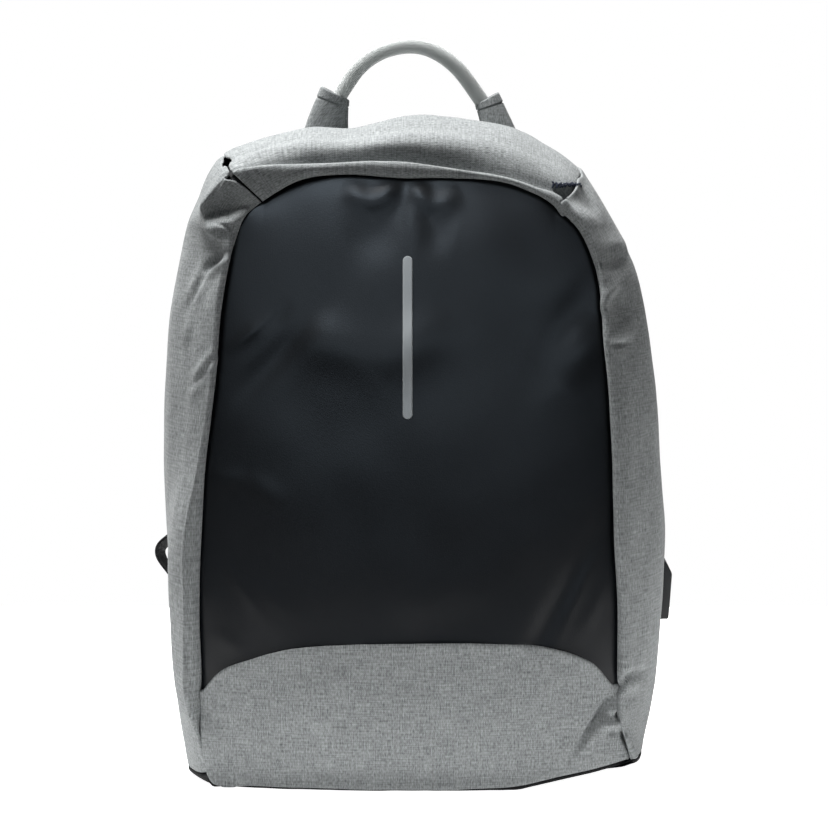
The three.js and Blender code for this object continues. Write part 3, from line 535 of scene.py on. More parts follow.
def fold_depth(x, z):
    """Sum of long soft dents, each a bell curve along and across its own direction."""
    total = np.zeros(np.shape(x))
    for fold_x, fold_z, turn, length, width, depth in FRONT_FOLDS:
        c, s = math.cos(math.radians(turn)), math.sin(math.radians(turn))
        along = (x - fold_x) * c + (z - fold_z) * s
        across = (z - fold_z) * c - (x - fold_x) * s
        total += depth * bell(along, length) * bell(across, width)
    return total


def mound(distance, height, width):
    """Bell curve of a height."""
    return height * bell(distance, width)


def dying(distance, height, length):
    """A height that holds up to no distance and falls off as e to the minus distance over length."""
    return height * np.exp(-np.clip(distance, 0, None) / length)


def soft_step(distance, width):
    """Smooth step: 0 far below no distance and 1 far above it."""
    return 1 / (1 + np.exp(-distance / width))


def crease_relief(x, z, creases):
    """Height of pressed creases: along its line each swells and fades as a sine; across, it is a bell of its
    height, plus a steep step that dies out as a bell, as where cloth doubles over."""
    total = np.zeros(np.shape(x))
    for x0, z0, x1, z1, width, height, step in creases:
        run = math.hypot(x1 - x0, z1 - z0)
        tx, tz = (x1 - x0) / run, (z1 - z0) / run
        along = ((x - x0) * tx + (z - z0) * tz) / run
        across = (z - z0) * tx - (x - x0) * tz
        fade = np.sin(np.pi * np.clip((along + CREASE_RUN_ON) / (1 + 2 * CREASE_RUN_ON), 0, 1)) ** 1.5
        doubled = step * np.tanh(3 * across / width) * bell(across, 2 * width)
        total += fade * (height * bell(across, width) + doubled)
    return total


def ripples(a, b, seed, longest, shortest, waves=14):
    """Uneven ripples: a sum of sine waves in seeded directions, with wavelengths between two lengths and
    heights in proportion to them, scaled to about 1."""
    rng = np.random.default_rng(seed)
    turns = rng.uniform(0, np.pi, waves)
    lengths = np.exp(rng.uniform(np.log(shortest), np.log(longest), waves))
    phases = rng.uniform(0, 2 * np.pi, waves)
    total = np.zeros(np.shape(a))
    for turn, length, phase in zip(turns, lengths, phases):
        place = (a * np.cos(turn) + b * np.sin(turn)) * 2 * np.pi / length
        total += length / longest * np.sin(place + phase + 0.6 * np.sin(0.37 * place + 2 * phase))
    return total / math.sqrt(waves / 2)


def gusset_sections(rows):
    """Hem and outward direction in the front view, and the reach and depth of the gusset's section at its
    shares, for row numbers round the bag: a smooth curve through seven places, drawn in front towards the
    section of the hood."""
    hem_x, hem_z, out_x, out_z, ridge, roll, dip = np.moveaxis(through_rows(GUSSET, rows), -1, 0)
    width = np.hypot(out_x - hem_x, out_z - hem_z)
    away_x, away_z = (out_x - hem_x) / width, (out_z - hem_z) / width
    ridge = ridge + RIDGE_BEND[2] * bell(rows - RIDGE_BEND[0], RIDGE_BEND[1])
    topness = np.clip(away_z, 0, 1) ** 2
    crest_y = SIDE_CREST_Y + (TOP_CREST_Y - SIDE_CREST_Y) * topness
    hood = through_places(FOLDS[:, 0], FOLDS[:, 1:2], rows)
    hem_y = front_depth(hem_x, hem_z) - HEM_LIFT + HOOD_SET * hood[..., 0]
    span = crest_y - hem_y
    reach = [
        0 * width,
        ridge * width,
        (ridge + (1 - ridge) * FACE_PLACE[0]) * width - dip,
        SHOULDER_PLACE[0] * width - SHOULDER_DIP * dip,
        width,
        width - TURN_PLACE[0] * BACK_ROUND,
        width - BACK_ROUND,
    ]
    depth = [
        hem_y,
        hem_y - roll,
        hem_y + FACE_PLACE[1] * span,
        hem_y + SHOULDER_PLACE[1] * span,
        crest_y,
        crest_y + TURN_PLACE[1] * (BACK_EDGE_Y - crest_y),
        0 * crest_y + BACK_EDGE_Y,
    ]
    plain = through_rows(np.eye(len(reach)), SECTION_SHARES * (len(reach) - 1)).T
    reach, depth = np.stack(reach, -1) @ plain, np.stack(depth, -1) @ plain
    _, heights, rise, rest, behind, spans, rolls, dips = HOOD.T
    rolled = np.s_[..., : len(HOOD)]
    ridge, width, span, roll, dip = (
        np.asarray(given)[..., None] for given in (ridge * width, width, span, roll, dip)
    )
    hood_reach = heights * ridge + rise + rest * (width - ridge)
    hood_depth = hem_y[..., None] + behind + spans * span + rolls * roll + dips * dip
    reach[rolled] += hood * (hood_reach - reach[rolled])
    depth[rolled] += hood * (hood_depth - depth[rolled])
    return (hem_x, hem_z), (away_x, away_z), reach, depth


def gusset_surface(rows, shares):
    """Points of the gusset at row numbers round the bag and shares from the hem (0) to the back seam (1): the
    section's smooth curve, less the pinches, which go towards the bag's middle."""
    (hem_x, hem_z), (away_x, away_z), reach, depth = gusset_sections(rows)
    place = np.interp(shares, SECTION_SHARES, np.arange(len(SECTION_SHARES)))
    weights = through_rows(np.eye(len(SECTION_SHARES)), place)
    reach, y = (reach * weights).sum(-1), (depth * weights).sum(-1)
    points = np.stack([hem_x + away_x * reach, y, hem_z + away_z * reach], -1)
    pinch = np.zeros(np.shape(y))
    for row, share, rows_wide, shares_wide, deep in GUSSET_PINCHES:
        pinch += deep * bell(rows - row, rows_wide) * bell(shares - share, shares_wide)
    inward = unit(points * PINCH_PULL + (0, 0, BAG_MIDDLE[2]))
    return points + pinch[..., None] * inward


def beside_hem(rows, outwards):
    """The hem line in the front view (x, z), moved outwards across the gusset."""
    hem, out = np.split(through_rows(GUSSET[:, :4], rows), 2, axis=-1)
    return hem + unit(out - hem) * np.asarray(outwards, float)[..., None]


def pocket_seam(x):
    """Height of the pocket's top seam: a smooth curve through its places."""
    return through_places(POCKET_ARCH[:, 0], POCKET_ARCH[:, 1:], x)[..., 0]


def stretched(left, right, low, high, across, up):
    """Patch between four edges, each a row of points: the blend of left and right, plus that of low and high,
    less the blend of the four corners."""
    u, v = across[None, :, None], up[:, None, None]
    sides = (1 - u) * left[:, None] + u * right[:, None]
    ends = (1 - v) * low[None] + v * high[None]
    corners = (1 - v) * ((1 - u) * low[0] + u * low[-1]) + v * ((1 - u) * high[0] + u * high[-1])
    return sides + ends - corners


def fine_ends(count, close):
    """Places from 0 to 1: evenly spread between, and closer at both ends, as `close` lists them."""
    close = np.asarray(close)
    return np.concatenate([close[:-1], np.linspace(close[-1], 1 - close[-1], count), 1 - close[-2::-1]])


def arc_lengths(points, axis):
    """Distance along the grid lines of one axis, from their start."""
    steps = np.linalg.norm(np.diff(points, axis=axis), axis=-1)
    return np.insert(np.cumsum(steps, axis=axis), 0, 0, axis=axis)


def grid_normals(points):
    """Unit normals of a grid, pointing away from the bag's middle, and whether its faces are to be turned."""
    across = np.gradient(points, axis=1)
    along = np.gradient(points, axis=0)
    normals = unit(np.cross(across, along))
    inward = (normals * (points - BAG_MIDDLE)).sum() < 0
    return (-normals if inward else normals), inward


def edge_distance(points):
    """Distance of each grid point from the nearest of the four edges, along the grid lines."""
    along, across = arc_lengths(points, 0), arc_lengths(points, 1)
    return np.minimum.reduce([along, along[-1:] - along, across, across[:, -1:] - across])


# Meshes


class Skin:
    """Collects the points, faces and map places of one piece, in millimetres."""

    def __init__(self):
        self.points = []
        self.faces = []
        self.places = []
        self.count = 0

    def lay(self, points):
        """Adds a grid of points and returns their numbers in the same grid."""
        flat = np.reshape(points, (-1, 3))
        numbers = self.count + np.arange(len(flat))
        self.points.append(flat)
        self.count += len(flat)
        return numbers.reshape(np.shape(points)[:-1])

    def cover(self, ids, places, turned=False):
        """Quads over a grid of point numbers, with map places of the same grid."""
        corners = [(slice(None, -1), slice(None, -1)), (slice(None, -1), slice(1, None)),
                   (slice(1, None), slice(1, None)), (slice(1, None), slice(None, -1))]
        if turned:
            corners.reverse()
        self.faces.append(np.stack([ids[c] for c in corners], -1).reshape(-1, 4))
        self.places.append(np.stack([places[c] for c in corners], -2).reshape(-1, 2))

    def cap(self, ring, middle, turned=False):
        """Fan of triangles from a ring of point numbers to a point at its middle."""
        centre = self.lay(np.reshape(middle, (1, 3)))[0]
        ahead = np.roll(ring, -1)
        fan = [ahead, ring] if turned else [ring, ahead]
        self.faces.append(np.stack([*fan, np.full(len(ring), centre)], -1))
        self.places.append(np.zeros((3 * len(ring), 2)))

    def piece(self, name, material, slot, nodes=()):
        """Makes the object, in metres, riding on the part's body and standing for its nodes."""
        mesh = bpy.data.meshes.new(name)
        faces = [face for group in self.faces for face in group.tolist()]
        mesh.from_pydata((np.concatenate(self.points) * MM).tolist(), [], faces)
        layer = mesh.uv_layers.new(name="weave")
        layer.data.foreach_set("uv", (np.concatenate(self.places) * MM).astype(np.float32).ravel())
        mesh.shade_smooth()
        mesh.materials.append(material)
        mesh.validate()
        obj = bpy.data.objects.new(name, mesh)
        bpy.context.scene.collection.objects.link(obj)
        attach(obj, "root")
        if nodes:
            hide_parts(*nodes)
        return obj


def cloth(points, thick, edge, places=None):
    """Closed sheet under a grid: its two sides lie half the thickness from the middle sheet and run together
    at the four edges as a quarter circle of radius `edge`. The weave follows the grid unless its places are
    given. Returns the skin and the sheet's flat size and area."""
    normals, turned = grid_normals(points)
    ease = np.clip(edge_distance(points) / edge, 0, 1)
    half = (thick / 2 * np.sqrt(1 - (1 - ease) ** 2))[..., None] * normals
    middle = points - normals * thick / 2
    along, across = arc_lengths(points, 0), arc_lengths(points, 1)
    places = np.stack([across, along], -1) if places is None else places
    skin = Skin()
    outer = skin.lay(middle + half)
    inner = outer.copy()
    inner[1:-1, 1:-1] = skin.lay((middle - half)[1:-1, 1:-1])
    skin.cover(outer, places, turned)
    skin.cover(inner, places, not turned)
    du, dv = np.diff(points, axis=1)[:-1], np.diff(points, axis=0)[:, :-1]
    area = np.linalg.norm(np.cross(du, dv), axis=-1).sum()
    flat = (float(across[:, -1].max()), float(along[-1].max()))
    return skin, flat, float(area)


def looped(rings):
    """Rings with their first point again at the end."""
    return np.concatenate([rings, rings[:, :1]], 1)


def around(rings, skin=None):
    """Closed skin over rings of points (each ring a loop), with fans over both ends."""
    skin = skin or Skin()
    ids = skin.lay(rings)
    closed = looped(rings)
    places = np.stack([arc_lengths(closed, 1), arc_lengths(closed, 0)], -1)
    axis = rings[1].mean(0) - rings[0].mean(0)
    spokes = rings[0] - rings[0].mean(0)
    turned = (np.cross(spokes, np.roll(spokes, -1, 0)).sum(0) @ axis) < 0
    skin.cover(looped(ids), places, turned)
    skin.cap(ids[0], rings[0].mean(0), not turned)
    skin.cap(ids[-1], rings[-1].mean(0), turned)
    return skin


def between(outer, inner, turned):
    """Closed skin between two stacks of rings of the same size, joined at the rim, with fans over the middle.
    Its weave lies on x and the longer of the other two directions."""
    skin = Skin()
    out_ids, in_ids = skin.lay(outer), skin.lay(inner)
    x, y, z = np.moveaxis(looped(np.concatenate([outer[::-1], inner])), -1, 0)
    places = np.stack([x, y if np.ptp(y) > np.ptp(z) else z], -1)
    skin.cover(looped(np.concatenate([out_ids[::-1], in_ids])), places, turned)
    skin.cap(out_ids[-1], outer[-1].mean(0), not turned)
    skin.cap(in_ids[-1], inner[-1].mean(0), turned)
    return skin


def carried(centres, first, second, section):
    """A section (n, 2) carried along a path: each ring is centre + x * first + y * second."""
    return centres[:, None] + section[None, :, :1] * first[:, None] + section[None, :, 1:] * second[:, None]


def squared_loop(half_width, half_thick, power, count):
    """Rounded section: a superellipse, cos and sin each raised to a power under 1 with their sign."""
    angle = np.linspace(0, 2 * np.pi, count, endpoint=False)
    c, s = np.cos(angle), np.sin(angle)
    return np.stack(
        [half_width * np.sign(c) * np.abs(c) ** power, half_thick * np.sign(s) * np.abs(s) ** power], -1
    )


def band_frames(table, count):
    """Path of a strap and its two cross directions: x turned about the path by the turn, square to it, and
    the direction square to both."""
    rows = np.linspace(0, len(table) - 1, count)
    placed = through_rows(table, rows)
    centres = np.stack([placed[:, 0], BACK_FACE_Y + placed[:, 1], placed[:, 2]], -1)
    ahead = unit(np.gradient(centres, axis=0))
    turn = np.radians(placed[:, 3])[:, None]
    flat = np.broadcast_to(np.array([1.0, 0, 0]), ahead.shape)
    flat = (
        flat * np.cos(turn) + np.cross(ahead, flat) * np.sin(turn) + ahead * ahead[:, :1] * (1 - np.cos(turn))
    )
    wide = unit(flat - ahead * (flat * ahead).sum(-1, keepdims=True))
    return centres, wide, np.cross(ahead, wide)


def thread_tube(path, diameter, sides=8):
    """Rings of a round thread along a row of points: a circle square to the path."""
    ahead = unit(np.gradient(path, axis=0))
    side = unit(np.cross(ahead, THREAD_UP))
    angle = np.linspace(0, 2 * np.pi, sides, endpoint=False)
    circle = np.stack([np.cos(angle), np.sin(angle)], -1) * diameter / 2
    return carried(path, side, np.cross(ahead, side), circle)


# Finishes


def set_up(tree, node, inputs):
    """Links or fills a node's inputs."""
    for key, value in inputs.items():
        if isinstance(value, bpy.types.NodeSocket):
            tree.links.new(value, node.inputs[key])
        else:
            node.inputs[key].default_value = value


def put(tree, kind, inputs=None, **settings):
    """Adds a node with its settings, and links or fills its inputs."""
    made = tree.nodes.new(kind)
    for key, value in settings.items():
        setattr(made, key, value)
    set_up(tree, made, inputs or {})
    return made


def maths(tree, operation, a, b=0.0):
    """A Math node's result."""
    return put(tree, "ShaderNodeMath", {0: a, 1: b}, operation=operation).outputs[0]


def noise(tree, place, scale, detail, stretch=None):
    """Noise of a scale per metre, drawn out along one direction where the place is stretched."""
    if stretch:
        place = put(tree, "ShaderNodeVectorMath", {0: place, 1: stretch}, operation="MULTIPLY").outputs[0]
    return put(tree, "ShaderNodeTexNoise", {"Vector": place, "Scale": scale, "Detail": detail}).outputs["Fac"]


def spread(tree, value, low, high, first=0.0, last=1.0):
    """Maps first to last onto low to high."""
    ends = {"From Min": first, "From Max": last, "To Min": low, "To Max": high}
    return put(tree, "ShaderNodeMapRange", {"Value": value, **ends}).outputs[0]


def tone(tree, factor, dark, light):
    """Mixes two colours by a factor."""
    ends = {"Factor": factor, 6: (*dark, 1.0), 7: (*light, 1.0)}
    return put(tree, "ShaderNodeMix", ends, data_type="RGBA").outputs[2]


def shaded(tree, factor, base, dark, light):
    """Mixes a colour times a dark and a light share by a factor."""
    return tone(tree, factor, [dark * part for part in base], [light * part for part in base])


def raised(tree, height, distance, strength):
    """Normals of a bump from a height in metres of `distance`."""
    bump = put(tree, "ShaderNodeBump", {"Height": height, "Distance": distance, "Strength": strength})
    return bump.outputs["Normal"]


def weave_place(tree):
    """The piece's own map, in metres."""
    return put(tree, "ShaderNodeUVMap", uv_map="weave").outputs["UV"]


def effect(tree, name, build, place, size):
    """Outputs of a shared effect at a place of the map, with a size in metres. Its group is made once:
    `build` gets the group's tree, Place and Size, and returns its results by name."""
    group = bpy.data.node_groups.get(name)
    if group is None:
        group = bpy.data.node_groups.new(name, "ShaderNodeTree")
        for socket, kind in (("Place", "NodeSocketVector"), ("Size", "NodeSocketFloat")):
            group.interface.new_socket(socket, in_out="INPUT", socket_type=kind)
        given = group.nodes.new("NodeGroupInput").outputs
        results = build(group, given["Place"], given["Size"])
        for result in results:
            group.interface.new_socket(result, in_out="OUTPUT", socket_type="NodeSocketFloat")
        set_up(group, group.nodes.new("NodeGroupOutput"), results)
    return put(tree, "ShaderNodeGroup", {"Place": place, "Size": size}, node_tree=group).outputs


def heather_flecks(tree, place, size):
    """Flecks of mixed yarns: noise drawn out along the weft and along the warp, and a slow drift of tone."""
    per_metre = maths(tree, "DIVIDE", 1.0, size)
    weft = noise(tree, place, per_metre, 0.0, (0.06, 1.0, 1.0))
    warp = noise(tree, place, per_metre, 0.0, (1.0, 0.06, 1.0))
    picks = noise(tree, place, per_metre, 0.0, (1.0, 0.35, 1.0))
    both = maths(tree, "ADD", maths(tree, "ADD", weft, warp), maths(tree, "MULTIPLY", picks, 1.6))
    return {"Fleck": spread(tree, both, 0.0, 1.0, 0.9, 2.7), "Drift": noise(tree, place, 14.0, 3.0)}


def plain_weave(tree, place, size):
    """Plain weave: over and under yarns as the product of two sines of the map, made uneven by noise."""
    apart = put(tree, "ShaderNodeSeparateXYZ", {0: place}).outputs
    turns = maths(tree, "DIVIDE", math.pi, size)
    weft, warp = (maths(tree, "SINE", maths(tree, "MULTIPLY", apart[axis], turns)) for axis in ("X", "Y"))
    crossing = maths(tree, "MULTIPLY", maths(tree, "MULTIPLY", weft, warp), 0.35)
    return {"Height": maths(tree, "ADD", crossing, noise(tree, place, 420.0, 2.0))}


def surface_grain(tree, place, size):
    """Grain of a coated or moulded surface: fine pits, and slow cloudy patches where it is rubbed."""
    per_metre = maths(tree, "DIVIDE", 1.0, size)
    pits = put(tree, "ShaderNodeTexVoronoi", {"Vector": place, "Scale": per_metre}).outputs["Distance"]
    return {"Height": pits, "Cloud": noise(tree, place, 11.0, 5.0)}


def finish(name, build):
    """The named material, made once: `build` gets its tree and returns the inputs of its shader."""
    made = bpy.data.materials.get(name)
    if made is None:
        made = bpy.data.materials.new(name)
        made.use_nodes = True
        set_up(made.node_tree, made.node_tree.nodes["Principled BSDF"], build(made.node_tree))
    return made


def grey_cloth():
    """Heathered polyester: dark and light yarns in short flecks both ways, with a plain weave whose height
    also paints shade into the colour.
    """

    def build(tree):
        place = weave_place(tree)
        flecks = effect(tree, "Heather flecks", heather_flecks, place, FLECK_SIZE)
        height = effect(tree, "Plain weave", plain_weave, place, sizes().yarn)["Height"]
        drifted = maths(tree, "ADD", flecks["Fleck"], spread(tree, flecks["Drift"], -0.06, 0.06))
        # Painted shade of the weave: the raised crossings are a little lighter and the hollows a little
        # darker.
        flecked_and_weave_shaded = maths(tree, "ADD", drifted, spread(tree, height, -0.05, 0.05))
        return {
            "Base Color": tone(tree, flecked_and_weave_shaded, colours().grey_dark, colours().grey_light),
            "Roughness": spread(tree, flecks["Fleck"], 0.95, 0.82),
            "Specular IOR Level": 0.2,
            "Sheen Weight": 0.12,
            "Normal": raised(tree, height, 0.0003, 0.6),
        }

    return finish("Heathered grey cloth", build)


def coated_cloth():
    """Soft coated cloth: nearly black, slightly blue, with a fine grain and cloudy gloss."""

    def build(tree):
        grain = effect(tree, "Surface grain", surface_grain, weave_place(tree), COATING_GRAIN)
        return {
            "Base Color": shaded(tree, grain["Cloud"], colours().coated, 0.85, 1.15),
            "Roughness": spread(tree, grain["Cloud"], 0.3, 0.42),
            "Specular IOR Level": 0.28,
            "Normal": raised(tree, grain["Height"], 0.00008, 0.5),
        }

    return finish("Coated front cloth", build)


def dark_weave(name, pitch, light):
    """Matte black cloth or webbing with a plain weave of its own pitch, and painted shade of the weave."""

    def build(tree):
        height = effect(tree, "Plain weave", plain_weave, weave_place(tree), pitch)["Height"]
        return {
            # Painted shade: the colour follows the weave's height, 0.6 times the base in the hollows and
            # `light` times it on the raised yarns.
            "Base Color": shaded(tree, height, colours().dark, 0.6, light),
            "Roughness": spread(tree, height, 0.95, 0.8),
            "Specular IOR Level": 0.25,
            "Normal": raised(tree, height, 0.0004, 0.8),
        }

    return finish(name, build)


def grained(name, base, rough, grain_size, relief, coordinate="Object", further=None):
    """Moulded or coated surface: fine grain, with cloudy gloss and tone, and any further shader inputs."""

    def build(tree):
        place = put(tree, "ShaderNodeTexCoord").outputs[coordinate]
        grain = effect(tree, "Surface grain", surface_grain, place, grain_size)
        return {
            "Base Color": shaded(tree, grain["Cloud"], base, 0.9, 1.1),
            "Roughness": spread(tree, grain["Cloud"], rough - 0.06, rough + 0.06),
            "Normal": raised(tree, grain["Height"], relief, 0.5),
            **(further or {}),
        }

    return finish(name, build)


def moulded_plastic():
    """Black plastic of the charging port and the strap adjusters."""
    return grained("Moulded plastic", colours().plastic, rough=0.5, grain_size=0.0007, relief=0.00006)


def reflective_tape():
    """Light tape of the strip, with its grain on its own map."""
    base = colours().strip
    return grained("Reflective tape", base, rough=0.42, grain_size=0.0006, relief=0.00006, coordinate="UV")


def satin_tube():
    """Satin tube of the handle, which light goes into and comes out of all round."""
    through = {
        "Subsurface Weight": 1,
        "Subsurface Radius": (1, 1, 1),
        "Subsurface Scale": 2.5 * TUBE_DIAMETER * MM,
        "Specular IOR Level": 0.15,
    }
    base = colours().tube
    return grained("Satin tube", base, rough=0.6, grain_size=0.0009, relief=0.00004, further=through)


# Pieces

# Places of the closest grid lines at an edge: in shares, in the pocket's width and in millimetres
CLOSE_SHARES = (0, 0.002, 0.006, 0.012, 0.02, 0.03)
CLOSE_SIDES = (0, 0.0015, 0.003, 0.006, 0.01, 0.015, 0.021)
CLOSE_ROWS_MM = (0, 0.15, 0.45, 0.9, 1.5, 2.3)
FOLD_CROWD = (3, 0.035)  # how much closer grid lines lie about the front fold, and how far


def seam_opening(shares, openings):
    """Gap at a mitred corner in rows: the sewn gap, wider as bells at its openings."""
    return (SEAM_GAP + sum(mound(shares - share, width, size) for share, size, width in openings)) / ROW_MM


def gusset_places(first, last, first_opening, last_opening, count):
    """Rows and shares of a gusset's grid between two rows, less the openings at its mitred ends. The shares
    lie closer about the front fold."""
    fine = np.linspace(0, 1, 2001)
    crowd = np.cumsum(1 + FOLD_CROWD[0] * bell(fine - RIDGE_SHARE, FOLD_CROWD[1]))
    shares = np.interp(fine_ends(96, CLOSE_SHARES), (crowd - crowd[0]) / np.ptp(crowd), fine)
    along = fine_ends(count, np.array(CLOSE_ROWS_MM) / ((last - first) * ROW_MM))[:, None]
    low = first + (0 * shares if first_opening is None else seam_opening(shares, first_opening))
    high = last - (0 * shares if last_opening is None else seam_opening(shares, last_opening))
    return low + (high - low) * along, np.broadcast_to(shares, (len(along), len(shares)))


def mitre_relief(rows, shares, seam):
    """Height beside a mitred corner: a sewn groove, a roll beside it and puckers that die out, each a bell of
    the distance from the seam, and on the right the lift of the gusset's end."""
    away = np.abs(rows - seam) * ROW_MM
    height, wide, waves = MITRE_PUCKER
    relief = mound(away - MITRE_ROLL[1], *MITRE_ROLL) - mound(away, *MITRE_GROOVE)
    relief += mound(away, height, wide) * np.cos(shares * waves + seam)
    if seam == RIGHT_SEAM:
        place, size = MITRE_LIFT_SHARES
        relief += mound(away, *MITRE_LIFT) * bell(shares - place, size)
    return relief


def corner_recess(rows, shares):
    """Depth of the top under the right gusset: a tongue that starts in front of the seam, ever less so away
    from its share, and goes down along the rows as 1 less e to the minus distance. The hem sinks evenly."""
    start, tongue, slope = RECESS_ROWS
    reach = np.abs(shares - RECESS_SHARE) / np.where(shares < RECESS_SHARE, *RECESS_SHARES)
    within = np.clip(rows - (RIGHT_SEAM + start - tongue * np.exp(-reach)), 0, None)
    deep = RECESS_DEPTH * (1 - np.exp(-within / slope)) * np.clip(shares / RECESS_HEM, 0, 1)
    before, over = HEM_SINK_ROWS
    return deep + HEM_SINK * np.clip((rows - RIGHT_SEAM + before) / over, 0, 1) * bell(shares, HEM_SINK_SHARE)


def gusset_relief(points, rows, shares, first, last, seed):
    """Height of the fine forms: the crisp front fold, the hems and mitred ends turning in, pressed creases
    seen from the front, and low ripples."""
    fold = np.exp(-np.sqrt((shares - RIDGE_SHARE) ** 2 + FOLD_ROUND**2) / FOLD_WIDTH)
    hood, height = np.moveaxis(through_places(FOLDS[:, 0], FOLDS[:, 1:], rows), -1, 0)
    from_hem = arc_lengths(points, 1)
    hem = np.clip(1 - from_hem / HEM_ROLL_WIDTH, 0, 1) ** 2
    relief = fold * height - HEM_ROLL * (1 - HOOD_HEM_EASE * hood) * hem
    if first == 0:
        full, fade = FOOT_TUCK_ROWS
        relief -= FOOT_TUCK * bell(from_hem, FOOT_TUCK_WIDTH) * bell(np.clip(rows - full, 0, None), fade)
    for seam in {first, last} & {LEFT_SEAM, RIGHT_SEAM}:
        relief += mitre_relief(rows, shares, seam)
    if last == RIGHT_SEAM + TOP_REACH:
        relief -= corner_recess(rows, shares)
    facing = np.clip((CREASE_FADE[0] - points[..., 1]) / CREASE_FADE[1], 0, 1)
    relief += facing * crease_relief(points[..., 0], points[..., 2], GUSSET_CREASES)
    return relief + RIPPLE_HEIGHT * ripples(rows * ROW_MM, shares * SECTION_MM, seed, *GUSSET_WAVES)


def gusset(name, node, first, last, first_opening, last_opening, count, seed):
    """One gusset: the gusset surface raised by its relief along the normals, as a closed sheet of cloth."""
    rows, shares = gusset_places(first, last, first_opening, last_opening, count)
    points = gusset_surface(rows, shares)
    places = np.stack([arc_lengths(points, 1), rows * ROW_MM], -1)
    normals, _ = grid_normals(points)
    points = points + normals * gusset_relief(points, rows, shares, first, last, seed)[..., None]
    skin, flat, area = cloth(points, sizes().cloth / MM, sizes().hem / MM, places)
    obj = skin.piece(name, grey_cloth(), "grey_cloth", [node])


class BACKPACK_OT_gussets(Operator):
    """Builds the side and top gussets"""

    bl_idname = "backpack.gussets"
    bl_label = "Gussets"

    def execute(self, context):
        top_end = RIGHT_SEAM + TOP_REACH
        gusset("gusset_left", "side_gusset_left", 0, LEFT_SEAM, None, LEFT_OPENINGS, count=300, seed=3)
        gusset("gusset_top", "top_gusset", LEFT_SEAM, top_end, TOP_OPENINGS, None, count=220, seed=5)
        gusset(
            "gusset_right", "side_gusset_right", RIGHT_SEAM, LAST_ROW, RIGHT_OPENINGS, None, count=300, seed=8
        )
        return {"FINISHED"}


class BACKPACK_OT_corner_tapes(Operator):
    """Builds the dark tapes behind the mitred corners, and the loose stitches of the right one"""

    bl_idname = "backpack.corner_tapes"
    bl_label = "Corner tapes"

    def execute(self, context):
        seams = zip(("left", "right"), (LEFT_SEAM, RIGHT_SEAM), TAPE_DEPTHS, TAPE_STARTS)
        for side, seam, deep, start in seams:
            shares = np.linspace(start, TAPE_END, 60)
            rows = np.linspace(seam - TAPE_ROWS, seam + TAPE_ROWS, 9)
            rows, across = np.meshgrid(rows, shares, indexing="ij")
            points = gusset_surface(rows, across)
            normals, _ = grid_normals(points)
            skin, _, _ = cloth(points - normals * deep, TAPE_THICK, TAPE_THICK / 2)
            weave = dark_weave("Dark tape", pitch=0.0009, light=1.4)
            skin.piece(f"tape_{side}", weave, "dark_cloth", [f"corner_tape_{side}"])
        self.stitches()
        return {"FINISHED"}

    @staticmethod
    def stitches():
        """Loose threads along the sewn edge of the right corner's recess: each zigzags across it as a sine
        and bows out between its stitches."""
        skin = Skin()
        along = np.linspace(0, 1, 120)
        share, slope, middle = THREAD_LINE
        sag, sag_rows, sag_start = THREAD_SAG
        for start, end, turns, phase in CORNER_THREADS:
            rows = start + (end - start) * along
            swing = np.sin(2 * np.pi * turns * along + phase)
            place = share + slope * (rows - middle) - sag * np.sin(np.pi * (rows - sag_start) / sag_rows)
            path = gusset_surface(rows, place + THREAD_SWING * swing)
            bow = THREAD_BOW[0] + THREAD_BOW[1] * np.cos(4 * np.pi * turns * along + phase)
            path = path + bow[:, None] * unit(path - BAG_MIDDLE)
            around(thread_tube(path, sizes().thread / MM), skin)
        thread = grained("Navy thread", colours().thread, rough=0.7, grain_size=0.0004, relief=0.0001)
        skin.piece("corner_stitches", thread, "dark_cloth")


def front_grid(across, up, left_rows, right_rows, low, high, cover):
    """Front view grid (x, z) between two hem lines, whose lower ends bend to meet the low edge, and a low and
    a high edge."""
    left = beside_hem(left_rows[0] + (left_rows[1] - left_rows[0]) * up, cover[0])
    right = beside_hem(right_rows[0] + (right_rows[1] - right_rows[0]) * up, cover[1])
    lower = low(left[0], right[0])
    bend = ((1 - up) ** 5)[:, None]
    left, right = left + bend * (lower[0] - left[0]), right + bend * (lower[-1] - right[0])
    return stretched(left, right, lower, high(left[-1], right[-1]), across, up)


def panel_depth(x, z):
    """Depth of the dark front: the front's depth and folds, less creases and slow ripples, leaning back just
    below the hood, pushed out above the pocket, and sunk in a smooth step under the hems."""
    hood, left, right = (
        beside_hem(np.linspace(*rows, 60), 0).T
        for rows in ((LEFT_SEAM, RIGHT_SEAM), (LEFT_POCKET_ROW, LEFT_SEAM), (RIGHT_POCKET_ROW, RIGHT_SEAM))
    )
    under = np.interp(x, *hood) - z
    from_left, from_right = x - np.interp(z, left[1], left[0]), np.interp(z, right[1], right[0]) - x
    inside = np.minimum.reduce([under, from_left, from_right])
    more, corner_x, size = CORNER_LEAN
    lean = dying(under, *HOOD_LEAN) * (1 + mound(x - corner_x, more, size))
    push = dying(z - pocket_seam(x), *POCKET_PUSH)
    sink = PANEL_SINK * soft_step(-inside - PANEL_STEP[0], PANEL_STEP[1]) + lean - push
    relief = crease_relief(x, z, FRONT_CREASES) + RIPPLE_HEIGHT * ripples(x, z, *PANEL_WAVES)
    return front_depth(x, z) + fold_depth(x, z) - relief + sink


